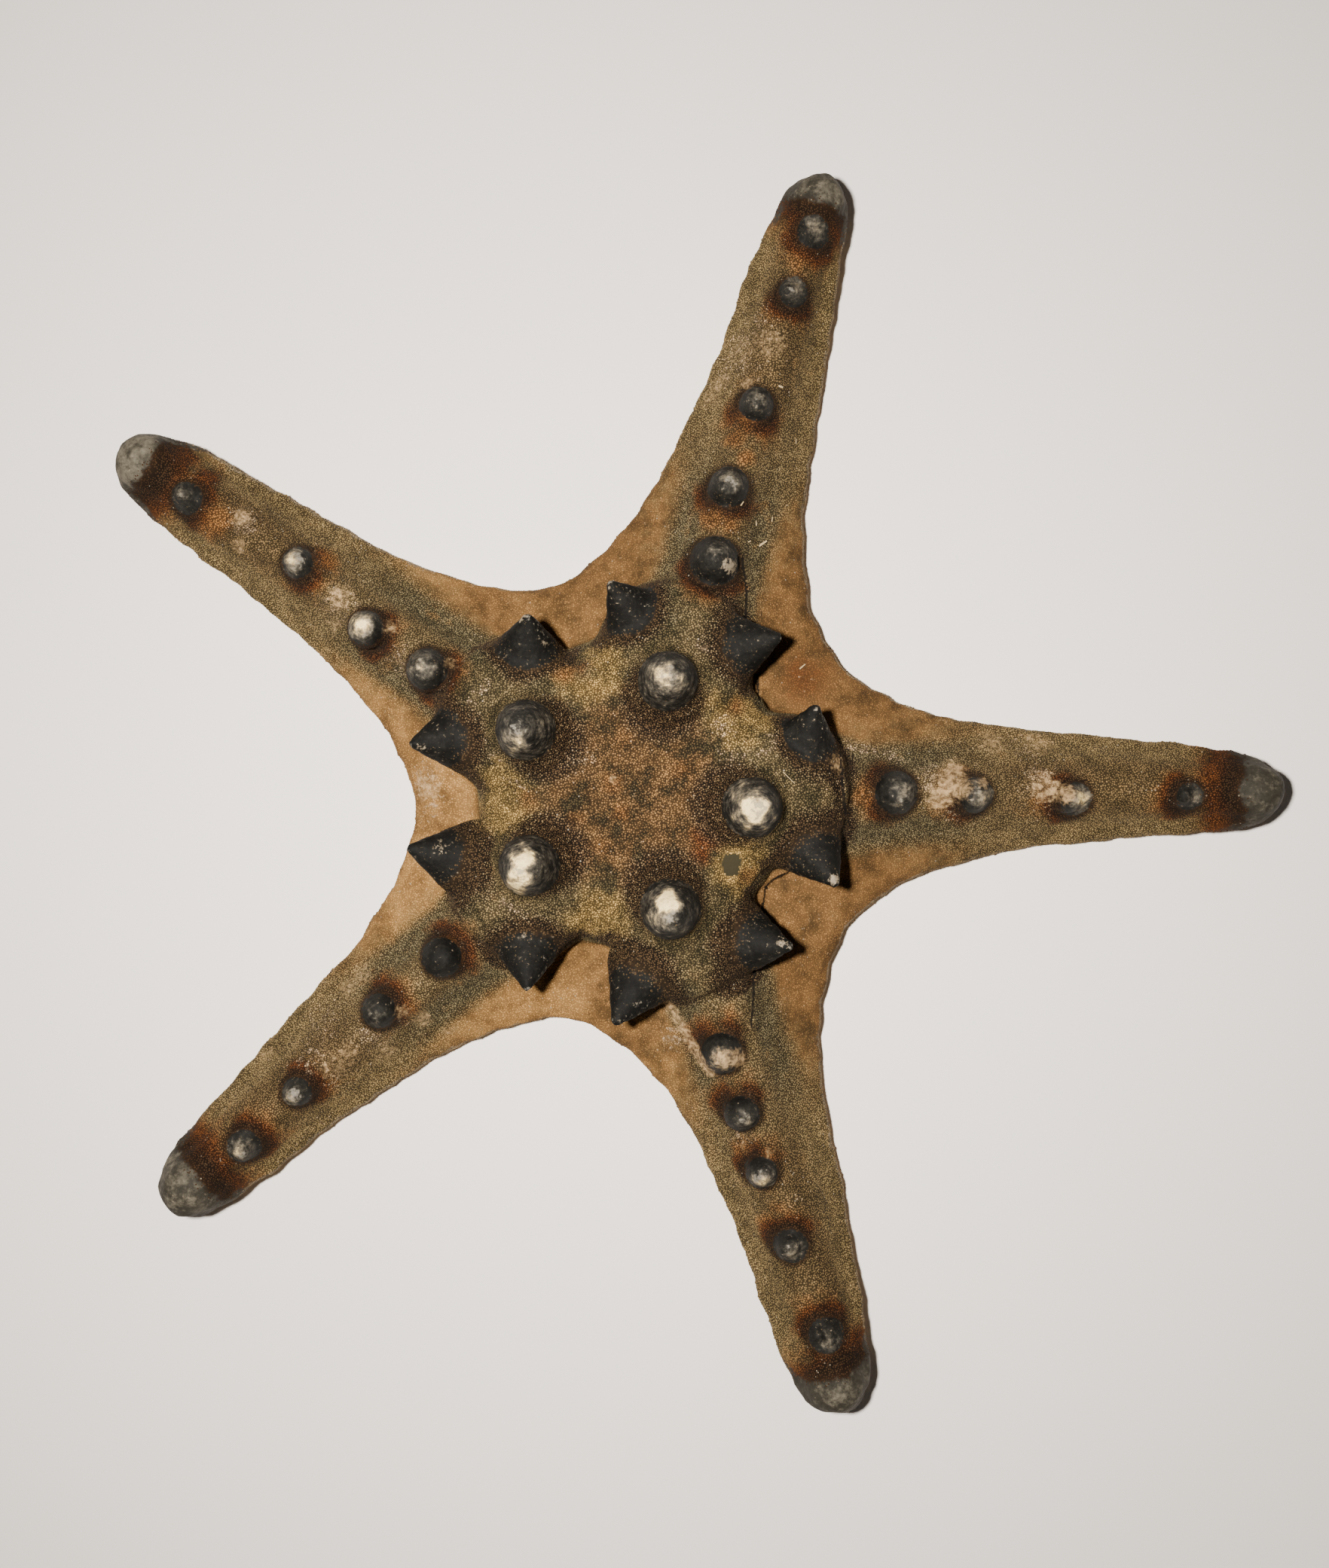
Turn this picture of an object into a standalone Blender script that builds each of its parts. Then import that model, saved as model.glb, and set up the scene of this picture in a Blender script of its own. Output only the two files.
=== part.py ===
# Dried horned sea star lying on its flat underside: one grown piece, five arms of unequal reach.
# Lengths are in millimetres and turned into metres as each mesh is made. +Z is up.
# Places on an arm are given as (along, across): along its axis from the disc's centre, and to its left.

import math

import bmesh
import bpy
from mathutils import Matrix, Vector

MM = 0.001

# Each arm: heading in degrees, reach of the tip, half-width at 45 mm, loss of half-width per mm,
# extra half-width at 28 mm and the distance over which that dies away, and the sideways sway of
# the arm's axis at 28, 50 and 70 mm.
ARMS = (
    {"name": "right", "heading": 0.0, "reach": 80.4, "waist": 7.5, "taper": 0.082,
     "flare": 5.3, "fade": 7.2, "sway": (-0.7, 0.4, 0.3),
     "tubercles": ((31.2, -0.1), (40.4, -0.4), (52.1, -0.7), (66.5, -0.4)),
     "horns": (((20.0, 4.2), (21.2, 10.0), 20.5), ((20.3, -5.6), (23.7, -10.9), 20.0)),
     "primary": (13.6, -1.7)},
    {"name": "upper", "heading": 72.5, "reach": 79.1, "waist": 7.6, "taper": 0.096,
     "flare": 3.9, "fade": 8.0, "sway": (-0.9, -0.3, -0.4),
     "tubercles": ((29.1, -0.9), (38.1, 0.2), (48.7, 0.0), (62.9, -0.2), (70.4, -0.3)),
     "horns": (((19.0, 4.9), (22.4, 9.9), 21.0), ((19.4, -5.4), (22.4, -10.9), 20.0)),
     "primary": (13.3, 0.0)},
    {"name": "left_upper", "heading": 147.5, "reach": 74.9, "waist": 6.9, "taper": 0.069,
     "flare": 3.6, "fade": 7.8, "sway": (-0.4, -1.2, -1.5),
     "tubercles": ((28.5, 0.9), (37.4, 0.7), (48.7, -1.5), (56.5, -2.4), (64.1, -0.9)),
     "horns": (((20.4, 5.2), (24.9, 9.2), 20.0), ((19.0, -6.2), (21.3, -10.7), 21.0)),
     "primary": (14.1, 0.6)},
    {"name": "left_lower", "heading": 221.1, "reach": 75.5, "waist": 7.4, "taper": 0.091,
     "flare": 3.6, "fade": 7.2, "sway": (0.7, 0.0, 0.1),
     "tubercles": ((30.1, -0.2), (40.1, -0.3), (54.1, 0.5), (63.2, 1.2)),
     "horns": (((20.6, 4.6), (24.4, 9.1), 20.5), ((20.4, -7.0), (24.2, -12.4), 19.5)),
     "primary": (14.4, -1.5)},
    {"name": "lower", "heading": 289.8, "reach": 80.3, "waist": 7.7, "taper": 0.076,
     "flare": 5.3, "fade": 7.2, "sway": (1.5, 0.7, 0.1),
     "tubercles": ((32.8, -0.7), (40.5, -0.9), (48.1, -1.1), (57.7, -0.8), (69.1, -0.4)),
     "horns": (((20.6, 5.8), (23.2, 11.2), 20.0), ((20.4, -5.9), (24.6, -11.2), 20.5)),
     "primary": (14.0, -0.5)},
)

# The margin's distance from the centre halfway between each arm and the next one
NOTCHES = (29.7, 27.3, 27.3, 29.1, 31.1)

# The low body: how each row of it runs from the crest to the margin, and under to the groove
ROOT = 24.0  # where an arm leaves the disc
NECK, MIDDLE, FAR = 28.0, 50.0, 70.0  # places along an arm where its sway is given
WAIST_AT = 45.0  # where its waist is measured
INNER_ROWS = (0.0, 0.4, 0.72, 1.0)  # shares of the way to the notch
EASE_ROWS = (0.36, 0.7)  # shares of the way round the notch's bend, to the first outer row
OUTER_ROWS = (NECK, 32.0, 37.0, 43.0, 50.0, 57.0, 64.0)
TIP_TURNS = (0.0, 32.0, 60.0, 90.0)  # degrees round the tip's end
TIP_LENGTH = 6.5
TOP_COLUMNS = (0.0, 0.22, 0.42, 0.68, 1.0)  # shares of the way from the crest to the shoulder
SHOULDER = (1.6, 5.3)  # inset from the margin and height
MARGIN = ((0.3, 3.9), (0.0, 2.3))
FOOT = (1.6, 0.0)
FLANGE_RISE = ((26.0, 3.4), (40.0, 1.8), (60.0, 1.0))  # along the arm, inside the shoulder
KEEL_SHARE, KEEL_POWER = 0.36, 2.6  # the keel's narrow form near the disc
KEEL_FADE = 34.0  # the distance over which it broadens into a rounded back
CREST = ((0.0, 12.0), (22.0, 15.2), (30.0, 14.6), (40.0, 13.2), (52.0, 12.0), (64.0, 11.4), (82.0, 11.2))
LIFT_FROM = 52.0  # the arm's end curls up off the ground from here
LIFT_TOP = 4.4
GROOVE = ((0.0, 3.0, 3.4), (30.0, 2.4, 2.6), (60.0, 1.7, 1.7), (84.0, 1.0, 0.9))  # along, half-width, depth
GROOVE_BEND = (0.55, 0.85)  # shares of its half-width and depth where its wall turns into its floor
MOST_GROOVE = (0.5, 1.2)  # shares of an arm's half-width that the lip and the depth keep to
TIP_DROP = 2.2  # how far the crest comes down over the tip

# The raised disc: a lobe towards each arm, with a steep wall down to the flange
DISC_INNER = 17.9
DISC_LOBE = 7.8
LOBE_HALF_ANGLE = 30.0
HALF_SECTOR = 36.0
LOBE_POWER = 2.5
DISC_TURNS = (0.0, 0.26, 0.5, 0.68, 0.84, 1.0)  # shares of the half angle between two arms
DISC_RINGS = ((0.38, 19.6, 0.3), (0.66, 19.6, 1.2), (0.88, 17.8, 1.7), (0.98, 15.4, 1.9))
DISC_MIDDLE = 19.2
DISC_WALL = ((0.7, 11.5), (1.7, 4.0))  # outset from the lobe's edge and height

# Horns and tubercles: turned profiles as (share of the radius, share of the height)
HORN_PROFILE = ((1.0, -0.25), (1.0, 0.0), (0.8, 0.2), (0.6, 0.48), (0.38, 0.77), (0.17, 0.95))
PRIMARY_PROFILE = ((1.0, -0.3), (1.0, 0.0), (0.77, 0.17), (0.66, 0.4), (0.54, 0.65), (0.38, 0.85), (0.18, 0.97))
TUBERCLE_PROFILE = ((1.0, -0.6), (1.0, 0.0), (0.78, 0.48), (0.48, 0.86))
HORN_RADIUS = 5.0
HORN_BASE_HEIGHT = 14.6
HORN_SIDES = 12
PRIMARY_RADIUS = 5.0
PRIMARY_FOOT = 20.2
PRIMARY_TOP = 30.0
PRIMARY_SIDES = 13
PRIMARY_LEAN = 0.006  # outward, for each millimetre from the centre
TUBERCLE_RADIUS = 2.9
TUBERCLE_HEIGHT = 2.7
TUBERCLE_SINK = 0.5
TUBERCLE_SIDES = 9
TUBERCLE_SHRINK = 0.014  # share of the size lost for each millimetre further out
TIP_CAP = (4.3, 3.7, 3.4)  # half-sizes of the bare knob at each arm's end
TIP_CAP_HEIGHT = 5.6  # above the arm's lifted underside
TIP_CAP_INSET = 0.3

SKIN_COLOUR = (0.27, 0.15, 0.055, 1.0)
HORN_COLOUR = (0.055, 0.055, 0.058, 1.0)
SHARP_ANGLE = math.radians(50.0)


def clear_scene():
    for obj in list(bpy.data.objects):
        bpy.data.objects.remove(obj)


def make_material(name, colour, roughness):
    material = bpy.data.materials.new(name)
    material.use_nodes = True
    shader = material.node_tree.nodes["Principled BSDF"]
    shader.inputs["Base Color"].default_value = colour
    shader.inputs["Roughness"].default_value = roughness
    shader.inputs["Metallic"].default_value = 0.0
    return material


def between(table, at):
    """The value at a place, read in straight lines from (place, value) pairs."""
    for (low, first), (high, second) in zip(table, table[1:]):
        if at <= high:
            return first + (second - first) * max(0.0, at - low) / (high - low)
    return table[-1][1]


def half_width(arm, along):
    straight = arm["waist"] - arm["taper"] * (along - WAIST_AT)
    return straight + arm["flare"] * math.exp(-(along - NECK) / arm["fade"])


def sway(arm, along):
    """Sideways place of the arm's axis: a parabola through its three given values."""
    first, middle, last = arm["sway"]
    curve = (
        first * (along - MIDDLE) * (along - FAR) / ((NECK - MIDDLE) * (NECK - FAR))
        + middle * (along - NECK) * (along - FAR) / ((MIDDLE - NECK) * (MIDDLE - FAR))
        + last * (along - NECK) * (along - MIDDLE) / ((FAR - NECK) * (FAR - MIDDLE))
    )
    return curve * min(1.0, along / ROOT)


def lift(arm, along):
    share = max(0.0, along - LIFT_FROM) / (arm["reach"] - LIFT_FROM)
    return LIFT_TOP * share * share


def to_plan(arm, along, across):
    """A place on an arm, as plan x and y from the disc's centre."""
    heading = math.radians(arm["heading"])
    cosine, sine = math.cos(heading), math.sin(heading)
    return Vector((along * cosine - across * sine, along * sine + across * cosine))


def notch_place(index, inset):
    """The plan place between arm index and the next one, in from the margin by the inset."""
    heading = ARMS[index]["heading"]
    gap = (ARMS[(index + 1) % len(ARMS)]["heading"] - heading) % 360.0
    turn = math.radians(heading + gap / 2.0)
    reach = NOTCHES[index] - inset
    return Vector((reach * math.cos(turn), reach * math.sin(turn)))


def eased_place(index, side, share, inset):
    """A plan place on the outline between the notch and an arm's first outer row."""
    arm = ARMS[index]
    notch = notch_place(index if side > 0 else (index - 1) % len(ARMS), inset)
    along, half = edge_of_row(arm, ("along", OUTER_ROWS[0]), inset)
    end = to_plan(arm, along, sway(arm, along) + side * half)
    length = (end - notch).length
    leave = Vector((-notch.y, notch.x)).normalized() * (-side * length)
    slope = arm["taper"] + arm["flare"] / arm["fade"]
    arrive = (to_plan(arm, 1.0, -side * slope)).normalized() * length
    a, b = share * share, share * share * share
    return (notch * (2.0 * b - 3.0 * a + 1.0) + leave * (b - 2.0 * a + share)
            + end * (3.0 * a - 2.0 * b) + arrive * (b - a))


def arm_rows(arm):
    """Rows of the free arm, as (kind, value): a distance along it, then turns round its tip."""
    rows = [("along", along) for along in OUTER_ROWS if along < arm["reach"] - TIP_LENGTH - 3.0]
    return rows + [("turn", math.radians(turn)) for turn in TIP_TURNS]


def edge_of_row(arm, row, inset):
    """(along, half-width) of a row at an outline that lies in from the margin by the inset."""
    kind, value = row
    if kind == "along":
        return value, half_width(arm, value) - inset
    start = arm["reach"] - TIP_LENGTH
    along = start + (TIP_LENGTH - inset) * math.sin(value)
    return along, (half_width(arm, start) - inset) * math.cos(value)


def ridge_shape(along, share):
    """How much of the keel's rise is left at a share of the way from the crest to the shoulder."""
    narrow = math.exp(-((share / KEEL_SHARE) ** KEEL_POWER))
    broad = 1.0 - share * share
    blend = min(1.0, max(0.0, (along - ROOT) / KEEL_FADE))
    return narrow * (1.0 - blend) + broad * blend


def top_height(arm, along, share):
    """Height of the low body's upper side on a free arm."""
    foot = SHOULDER[1] + lift(arm, along)
    crest = between(CREST, along)
    end = max(0.0, (along - arm["reach"] + TIP_LENGTH) / TIP_LENGTH)
    crest -= TIP_DROP * end * end
    rise = between(FLANGE_RISE, along)
    return foot + rise * (1.0 - share * share) + (crest - foot - rise) * ridge_shape(along, share)


def inner_height(row_share, share):
    """The same inside the disc, where the raised disc covers most of it."""
    along = ROOT * row_share
    near_edge = share * row_share
    rise = between(FLANGE_RISE, along)
    flange = SHOULDER[1] + rise * (1.0 - near_edge * near_edge)
    return flange + (between(CREST, along) - SHOULDER[1] - rise) * ridge_shape(along, share)


def groove_at(along):
    half = between([(place, width) for place, width, depth in GROOVE], along)
    return half, between([(place, depth) for place, width, depth in GROOVE], along)


def low_places(axis, end, lip, depth):
    """A row of the under side: the foot of the margin, the groove's lip, its wall and its floor."""
    bend, drop = GROOVE_BEND
    return [(end, FOOT[1]), (axis.lerp(end, lip), FOOT[1]),
            (axis.lerp(end, lip * bend), depth * drop), (axis, depth)]


def lay_side(mesh, index, side):
    """One half of one arm, from the crest over the margin to the groove, as rows of vertices."""
    arm = ARMS[index]
    notch = index if side > 0 else (index - 1) % len(ARMS)
    rows = []
    for share in INNER_ROWS:
        axis = to_plan(arm, ROOT * share, sway(arm, ROOT * share))
        row = []
        top_end = notch_place(notch, SHOULDER[0]) * share
        for column in TOP_COLUMNS:
            plan = axis.lerp(top_end, column)
            row.append((plan, inner_height(share, column if share else 0.0)))
        for inset, height in MARGIN:
            row.append((notch_place(notch, inset), height) if share == 1.0 else None)
        low_end = notch_place(notch, FOOT[0]) * share
        half, depth = groove_at(ROOT * share)
        lip = min(MOST_GROOVE[0], half / max(1.0, (low_end - axis).length))
        if share:
            low = low_places(axis, low_end, lip, depth)
        else:
            low = [(axis, depth)] * 4
        rows.append(row + low)
    for share in EASE_ROWS:
        along = ROOT + (OUTER_ROWS[0] - ROOT) * share
        axis = to_plan(arm, along, sway(arm, along))
        end = eased_place(index, side, share, SHOULDER[0])
        row = [(axis.lerp(end, column), top_height(arm, along, column)) for column in TOP_COLUMNS]
        row += [(eased_place(index, side, share, inset), height) for inset, height in MARGIN]
        end = eased_place(index, side, share, FOOT[0])
        half, depth = groove_at(along)
        lip = half / (end - axis).length
        rows.append(row + low_places(axis, end, lip, depth))
    for kind_and_value in arm_rows(arm):
        row = []
        along, half = edge_of_row(arm, kind_and_value, SHOULDER[0])
        for column in TOP_COLUMNS:
            plan = to_plan(arm, along, sway(arm, along) + side * half * column)
            row.append((plan, top_height(arm, along, column)))
        for inset, height in MARGIN:
            along, half = edge_of_row(arm, kind_and_value, inset)
            plan = to_plan(arm, along, sway(arm, along) + side * half)
            row.append((plan, height + lift(arm, along)))
        along, half = edge_of_row(arm, kind_and_value, FOOT[0])
        lip, depth = groove_at(along)
        lip = min(lip, MOST_GROOVE[0] * half) / half if half > 0.0 else 0.0
        depth = min(depth, MOST_GROOVE[1] * half)
        axis = to_plan(arm, along, sway(arm, along))
        end = to_plan(arm, along, sway(arm, along) + side * half)
        low = low_places(axis, end, lip, depth)
        rows.append(row + [(plan, height + lift(arm, along)) for plan, height in low])
    skin_rows(mesh, rows, side)


def skin_rows(mesh, rows, side):
    """Faces between neighbouring rows. A place that a row leaves out ends the strip there."""
    made = []
    for row in rows:
        made.append([place and mesh.verts.new((*(place[0] * MM), place[1] * MM)) for place in row])
    for first, second in zip(made, made[1:]):
        for a, b, c, d in zip(first, first[1:], second[1:], second):
            if None not in (a, b, c, d):
                mesh.faces.new((a, d, c, b) if side > 0 else (a, b, c, d))


def new_object(name, mesh, material):
    bmesh.ops.recalc_face_normals(mesh, faces=mesh.faces)
    data = bpy.data.meshes.new(name)
    mesh.to_mesh(data)
    mesh.free()
    data.materials.append(material)
    data.shade_smooth()
    data.set_sharp_from_angle(angle=SHARP_ANGLE)
    obj = bpy.data.objects.new(name, data)
    bpy.context.scene.collection.objects.link(obj)
    return obj


def make_body(material):
    """The low body: five keeled arms and the wide flange that joins them."""
    mesh = bmesh.new()
    for index in range(len(ARMS)):
        for side in (1, -1):
            lay_side(mesh, index, side)
    bmesh.ops.remove_doubles(mesh, verts=mesh.verts, dist=0.01 * MM)
    bmesh.ops.dissolve_degenerate(mesh, edges=mesh.edges, dist=0.01 * MM)
    return new_object("starfish", mesh, material)


def lobe_reach(share):
    """The raised disc's edge, at a share of the half angle from an arm's axis to the notch."""
    turn = min(1.0, share * HALF_SECTOR / LOBE_HALF_ANGLE)
    return DISC_INNER + DISC_LOBE * (1.0 - turn ** LOBE_POWER)


def make_disc(material):
    """The raised disc, as rings of vertices round its middle."""
    mesh = bmesh.new()
    rings = [[] for _ in range(len(DISC_RINGS) + len(DISC_WALL))]
    for index, arm in enumerate(ARMS):
        gap = (ARMS[(index + 1) % len(ARMS)]["heading"] - arm["heading"]) % 360.0
        steps = list(DISC_TURNS[:-1]) + [2.0 - share for share in DISC_TURNS[:0:-1]]
        for step in steps:
            turn = math.radians(arm["heading"] + gap / 2.0 * step)
            share = min(step, 2.0 - step)
            reach = lobe_reach(share)
            ridge = math.cos(share * math.pi / 2.0) ** 2
            places = [(reach * ring, height + rise * ridge) for ring, height, rise in DISC_RINGS]
            places += [(reach + outset, height) for outset, height in DISC_WALL]
            for ring, (out, height) in zip(rings, places):
                place = (out * math.cos(turn) * MM, out * math.sin(turn) * MM, height * MM)
                ring.append(mesh.verts.new(place))
    middle = mesh.verts.new((0.0, 0.0, DISC_MIDDLE * MM))
    count = len(rings[0])
    for step in range(count):
        after = (step + 1) % count
        mesh.faces.new((middle, rings[0][step], rings[0][after]))
        for inner, outer in zip(rings, rings[1:]):
            mesh.faces.new((inner[step], outer[step], outer[after], inner[after]))
    mesh.faces.new(rings[-1])
    return new_object("raised_disc", mesh, material)


def turned(name, profile, radius, height, sides, matrix, material):
    """A closed solid turned from a profile round its own axis, with a point at the top."""
    mesh = bmesh.new()
    rings = []
    for out, up in profile:
        ring = []
        for step in range(sides):
            turn = 2.0 * math.pi * step / sides
            place = Vector((out * radius * math.cos(turn), out * radius * math.sin(turn), up * height))
            ring.append(mesh.verts.new(matrix @ place * MM))
        rings.append(ring)
    top = mesh.verts.new(matrix @ Vector((0.0, 0.0, height)) * MM)
    for step in range(sides):
        after = (step + 1) % sides
        for low, high in zip(rings, rings[1:]):
            mesh.faces.new((low[step], low[after], high[after], high[step]))
        mesh.faces.new((rings[-1][step], rings[-1][after], top))
    mesh.faces.new(rings[0][::-1])
    return new_object(name, mesh, material)


def facing(place, direction):
    """The matrix that puts a turned piece at a place, pointing along a direction."""
    return Matrix.Translation(place) @ direction.to_track_quat("Z", "Y").to_matrix().to_4x4()


def make_primary_horn(arm, material):
    plan = to_plan(arm, *arm["primary"])
    matrix = facing(Vector((*plan, PRIMARY_FOOT)), Vector((*(plan * PRIMARY_LEAN), 1.0)))
    height = PRIMARY_TOP - PRIMARY_FOOT
    name = "primary_horn_" + arm["name"]
    return turned(name, PRIMARY_PROFILE, PRIMARY_RADIUS, height, PRIMARY_SIDES, matrix, material)


def make_side_horns(arm, material):
    horns = []
    for number, (base, tip, top) in enumerate(arm["horns"], start=1):
        low = Vector((*to_plan(arm, *base), HORN_BASE_HEIGHT))
        high = Vector((*to_plan(arm, *tip), top))
        matrix = facing(low, high - low)
        name = f"side_horn_{arm['name']}_{number}"
        length = (high - low).length
        horns.append(turned(name, HORN_PROFILE, HORN_RADIUS, length, HORN_SIDES, matrix, material))
    return horns


def make_tubercles(arm, material):
    """The row of low knobs along the keel, smaller further out."""
    knobs = []
    for number, (along, across) in enumerate(arm["tubercles"], start=1):
        size = 1.0 - TUBERCLE_SHRINK * (along - NECK)
        height = between(CREST, along) - TUBERCLE_SINK
        matrix = facing(Vector((*to_plan(arm, along, across), height)), Vector((0.0, 0.0, 1.0)))
        name = f"tubercle_{arm['name']}_{number}"
        radius = TUBERCLE_RADIUS * size
        rise = TUBERCLE_HEIGHT * size + TUBERCLE_SINK
        knobs.append(turned(name, TUBERCLE_PROFILE, radius, rise, TUBERCLE_SIDES, matrix, material))
    return knobs


def make_tip_cap(arm, material):
    """The bare rounded knob at the arm's end, part sunk into it."""
    along = arm["reach"] - TIP_CAP[0] - TIP_CAP_INSET
    plan = to_plan(arm, along, sway(arm, along))
    height = lift(arm, along) + TIP_CAP_HEIGHT
    mesh = bmesh.new()
    bmesh.ops.create_uvsphere(mesh, u_segments=12, v_segments=7, radius=1.0)
    turn = Matrix.Rotation(math.radians(arm["heading"]), 4, "Z")
    size = Matrix.Diagonal((*TIP_CAP, 1.0))
    matrix = Matrix.Translation(Vector((*plan, height)) * MM) @ turn @ size @ Matrix.Scale(MM, 4)
    bmesh.ops.transform(mesh, matrix=matrix, verts=mesh.verts)
    return new_object("tip_cap_" + arm["name"], mesh, material)


def fuse(body, pieces):
    """Joins the pieces to the body in one union, and leaves them hidden as its operands."""
    operands = bpy.data.collections.new("grown_from_the_body")
    bpy.context.scene.collection.children.link(operands)
    for piece in pieces:
        bpy.context.scene.collection.objects.unlink(piece)
        operands.objects.link(piece)
        piece.display_type = "WIRE"
        piece.hide_render = True
    union = body.modifiers.new("grown as one", "BOOLEAN")
    union.operation = "UNION"
    union.solver = "EXACT"
    union.operand_type = "COLLECTION"
    union.collection = operands
    union.material_mode = "TRANSFER"


def centre_on_box(objects):
    """Moves everything so that the origin is under the middle of the body's bounding box."""
    corners = [Vector(corner) for corner in objects[0].bound_box]
    middle_x = (min(c.x for c in corners) + max(c.x for c in corners)) / 2.0
    middle_y = (min(c.y for c in corners) + max(c.y for c in corners)) / 2.0
    shift = Matrix.Translation((-middle_x, -middle_y, 0.0))
    for obj in objects:
        obj.data.transform(shift)


def main():
    clear_scene()
    skin = make_material("starfish_skin", SKIN_COLOUR, 0.85)
    horn = make_material("starfish_horn", HORN_COLOUR, 0.6)
    body = make_body(skin)
    pieces = [make_disc(skin)]
    for arm in ARMS:
        pieces.append(make_primary_horn(arm, horn))
        pieces += make_side_horns(arm, horn)
        pieces += make_tubercles(arm, horn)
        pieces.append(make_tip_cap(arm, horn))
    centre_on_box([body] + pieces)
    fuse(body, pieces)


main()
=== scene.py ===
import bpy
import math
import random
import numpy as np
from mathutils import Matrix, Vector, kdtree


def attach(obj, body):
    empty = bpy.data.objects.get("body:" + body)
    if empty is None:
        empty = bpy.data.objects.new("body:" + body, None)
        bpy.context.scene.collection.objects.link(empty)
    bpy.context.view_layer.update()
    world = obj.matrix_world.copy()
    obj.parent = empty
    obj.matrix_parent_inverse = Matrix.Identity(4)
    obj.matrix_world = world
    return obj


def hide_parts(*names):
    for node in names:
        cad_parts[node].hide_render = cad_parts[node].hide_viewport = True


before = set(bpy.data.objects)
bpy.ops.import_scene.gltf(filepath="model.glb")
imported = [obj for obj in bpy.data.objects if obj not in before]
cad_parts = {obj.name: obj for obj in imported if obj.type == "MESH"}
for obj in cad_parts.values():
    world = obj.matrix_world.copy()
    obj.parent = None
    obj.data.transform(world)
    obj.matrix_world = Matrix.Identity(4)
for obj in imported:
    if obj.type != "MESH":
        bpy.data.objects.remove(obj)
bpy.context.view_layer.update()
bpy.ops.object.select_all(action="DESELECT")
print("frame loaded")

mm = 0.001
discCentre = np.array((-8.68, 0.24)) * mm  # middle of the disc, in plan


# small helpers for meshes
def ramp(value, low, high):
    share = np.clip((np.asarray(value) - low) / (high - low), 0.0, 1.0)
    return share * share * (3.0 - 2.0 * share)


def selectOnly(piece):
    bpy.ops.object.select_all(action="DESELECT")
    piece.select_set(True)
    bpy.context.view_layer.objects.active = piece


def readPlaces(piece):
    places = np.empty(len(piece.data.vertices) * 3, np.float32)
    piece.data.vertices.foreach_get("co", places)
    return places.reshape(-1, 3).astype(float)


def readNormals(piece):
    normals = np.empty(len(piece.data.vertices) * 3, np.float32)
    piece.data.vertices.foreach_get("normal", normals)
    return normals.reshape(-1, 3).astype(float)


def storeMask(piece, name, values):
    mask = piece.data.attributes.new(name, "FLOAT", "POINT")
    mask.data.foreach_set("value", np.ascontiguousarray(values, np.float32))


def groupFromMask(piece, name, values):
    group = piece.vertex_groups.new(name=name)
    levels = np.round(np.clip(values, 0.0, 1.0) * 20).astype(int)
    for level in range(1, 21):
        members = np.flatnonzero(levels == level).tolist()
        if members:
            group.add(members, level / 20, "REPLACE")


def applyModifier(piece, kind, **settings):
    selectOnly(piece)
    modifier = piece.modifiers.new(kind.lower(), kind)
    for name, value in settings.items():
        setattr(modifier, name, value)
    bpy.ops.object.modifier_apply(modifier=modifier.name)


def neighbourMean(piece, values, turns):
    # evens out the values over the surface, a little at each turn
    count = len(piece.data.vertices)
    edges = np.empty(len(piece.data.edges) * 2, np.int32)
    piece.data.edges.foreach_get("vertices", edges)
    first, second = edges.reshape(-1, 2).T
    valence = np.bincount(first, minlength=count) + np.bincount(second, minlength=count)
    values = np.array(values, float)
    for _ in range(turns):
        for column in range(values.shape[1]):
            line = values[:, column]
            total = (np.bincount(first, line[second], count)
                     + np.bincount(second, line[first], count))
            values[:, column] = 0.5 * line + 0.5 * total / np.maximum(valence, 1)
    return values


# camera, light and floor
view = {
    "place": (-5.05 * mm, 1.17 * mm, 300.0 * mm),
    "frameHeight": 195.7 * mm,  # of the floor that the picture takes in
    "sensorHeight": 24.0,
}
bpy.ops.object.camera_add(location=view["place"], rotation=(0.0, 0.0, 0.0))
camera = bpy.context.object
camera.data.sensor_fit = "VERTICAL"
camera.data.sensor_height = view["sensorHeight"]
camera.data.lens = view["sensorHeight"] * view["place"][2] / view["frameHeight"]
camera.data.clip_start = 0.01
bpy.context.scene.camera = camera

studio = {
    "keyPlace": (-46 * mm, 12 * mm, 320 * mm),
    "keyAim": (-8 * mm, 2 * mm, 0.0),
    "keySize": 18 * mm,
    "keySpread": math.radians(84.0),  # narrows the light, so that it falls off towards the arm tips
    "keyPower": 0.77,
    "keyColour": (1.0, 0.945, 0.875),
    "fillColour": (1.0, 0.975, 0.94, 1.0),
    "fillStrength": 0.046,
}
bpy.ops.object.light_add(type="AREA", location=studio["keyPlace"])
key = bpy.context.object
key.data.shape = "DISK"
key.data.size = studio["keySize"]
key.data.spread = studio["keySpread"]
key.data.energy = studio["keyPower"]
key.data.color = studio["keyColour"]
aim = Vector(studio["keyAim"]) - key.location
key.rotation_euler = aim.to_track_quat("-Z", "Y").to_euler()
world = bpy.data.worlds.new("studio")
world.use_nodes = True
world.node_tree.nodes["Background"].inputs["Color"].default_value = studio["fillColour"]
world.node_tree.nodes["Background"].inputs["Strength"].default_value = studio["fillStrength"]
bpy.context.scene.world = world

bpy.ops.mesh.primitive_plane_add(size=4.0, location=(0.0, 0.0, 0.0))
floor = bpy.context.object
floor.name = "pale_floor"
paper = bpy.data.materials.new("pale_paper")
paper.use_nodes = True
paper.node_tree.nodes["Principled BSDF"].inputs["Base Color"].default_value = (0.82, 0.775, 0.735, 1.0)
paper.node_tree.nodes["Principled BSDF"].inputs["Roughness"].default_value = 0.9
floor.data.materials.append(paper)
print("camera, light and floor ready")


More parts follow.
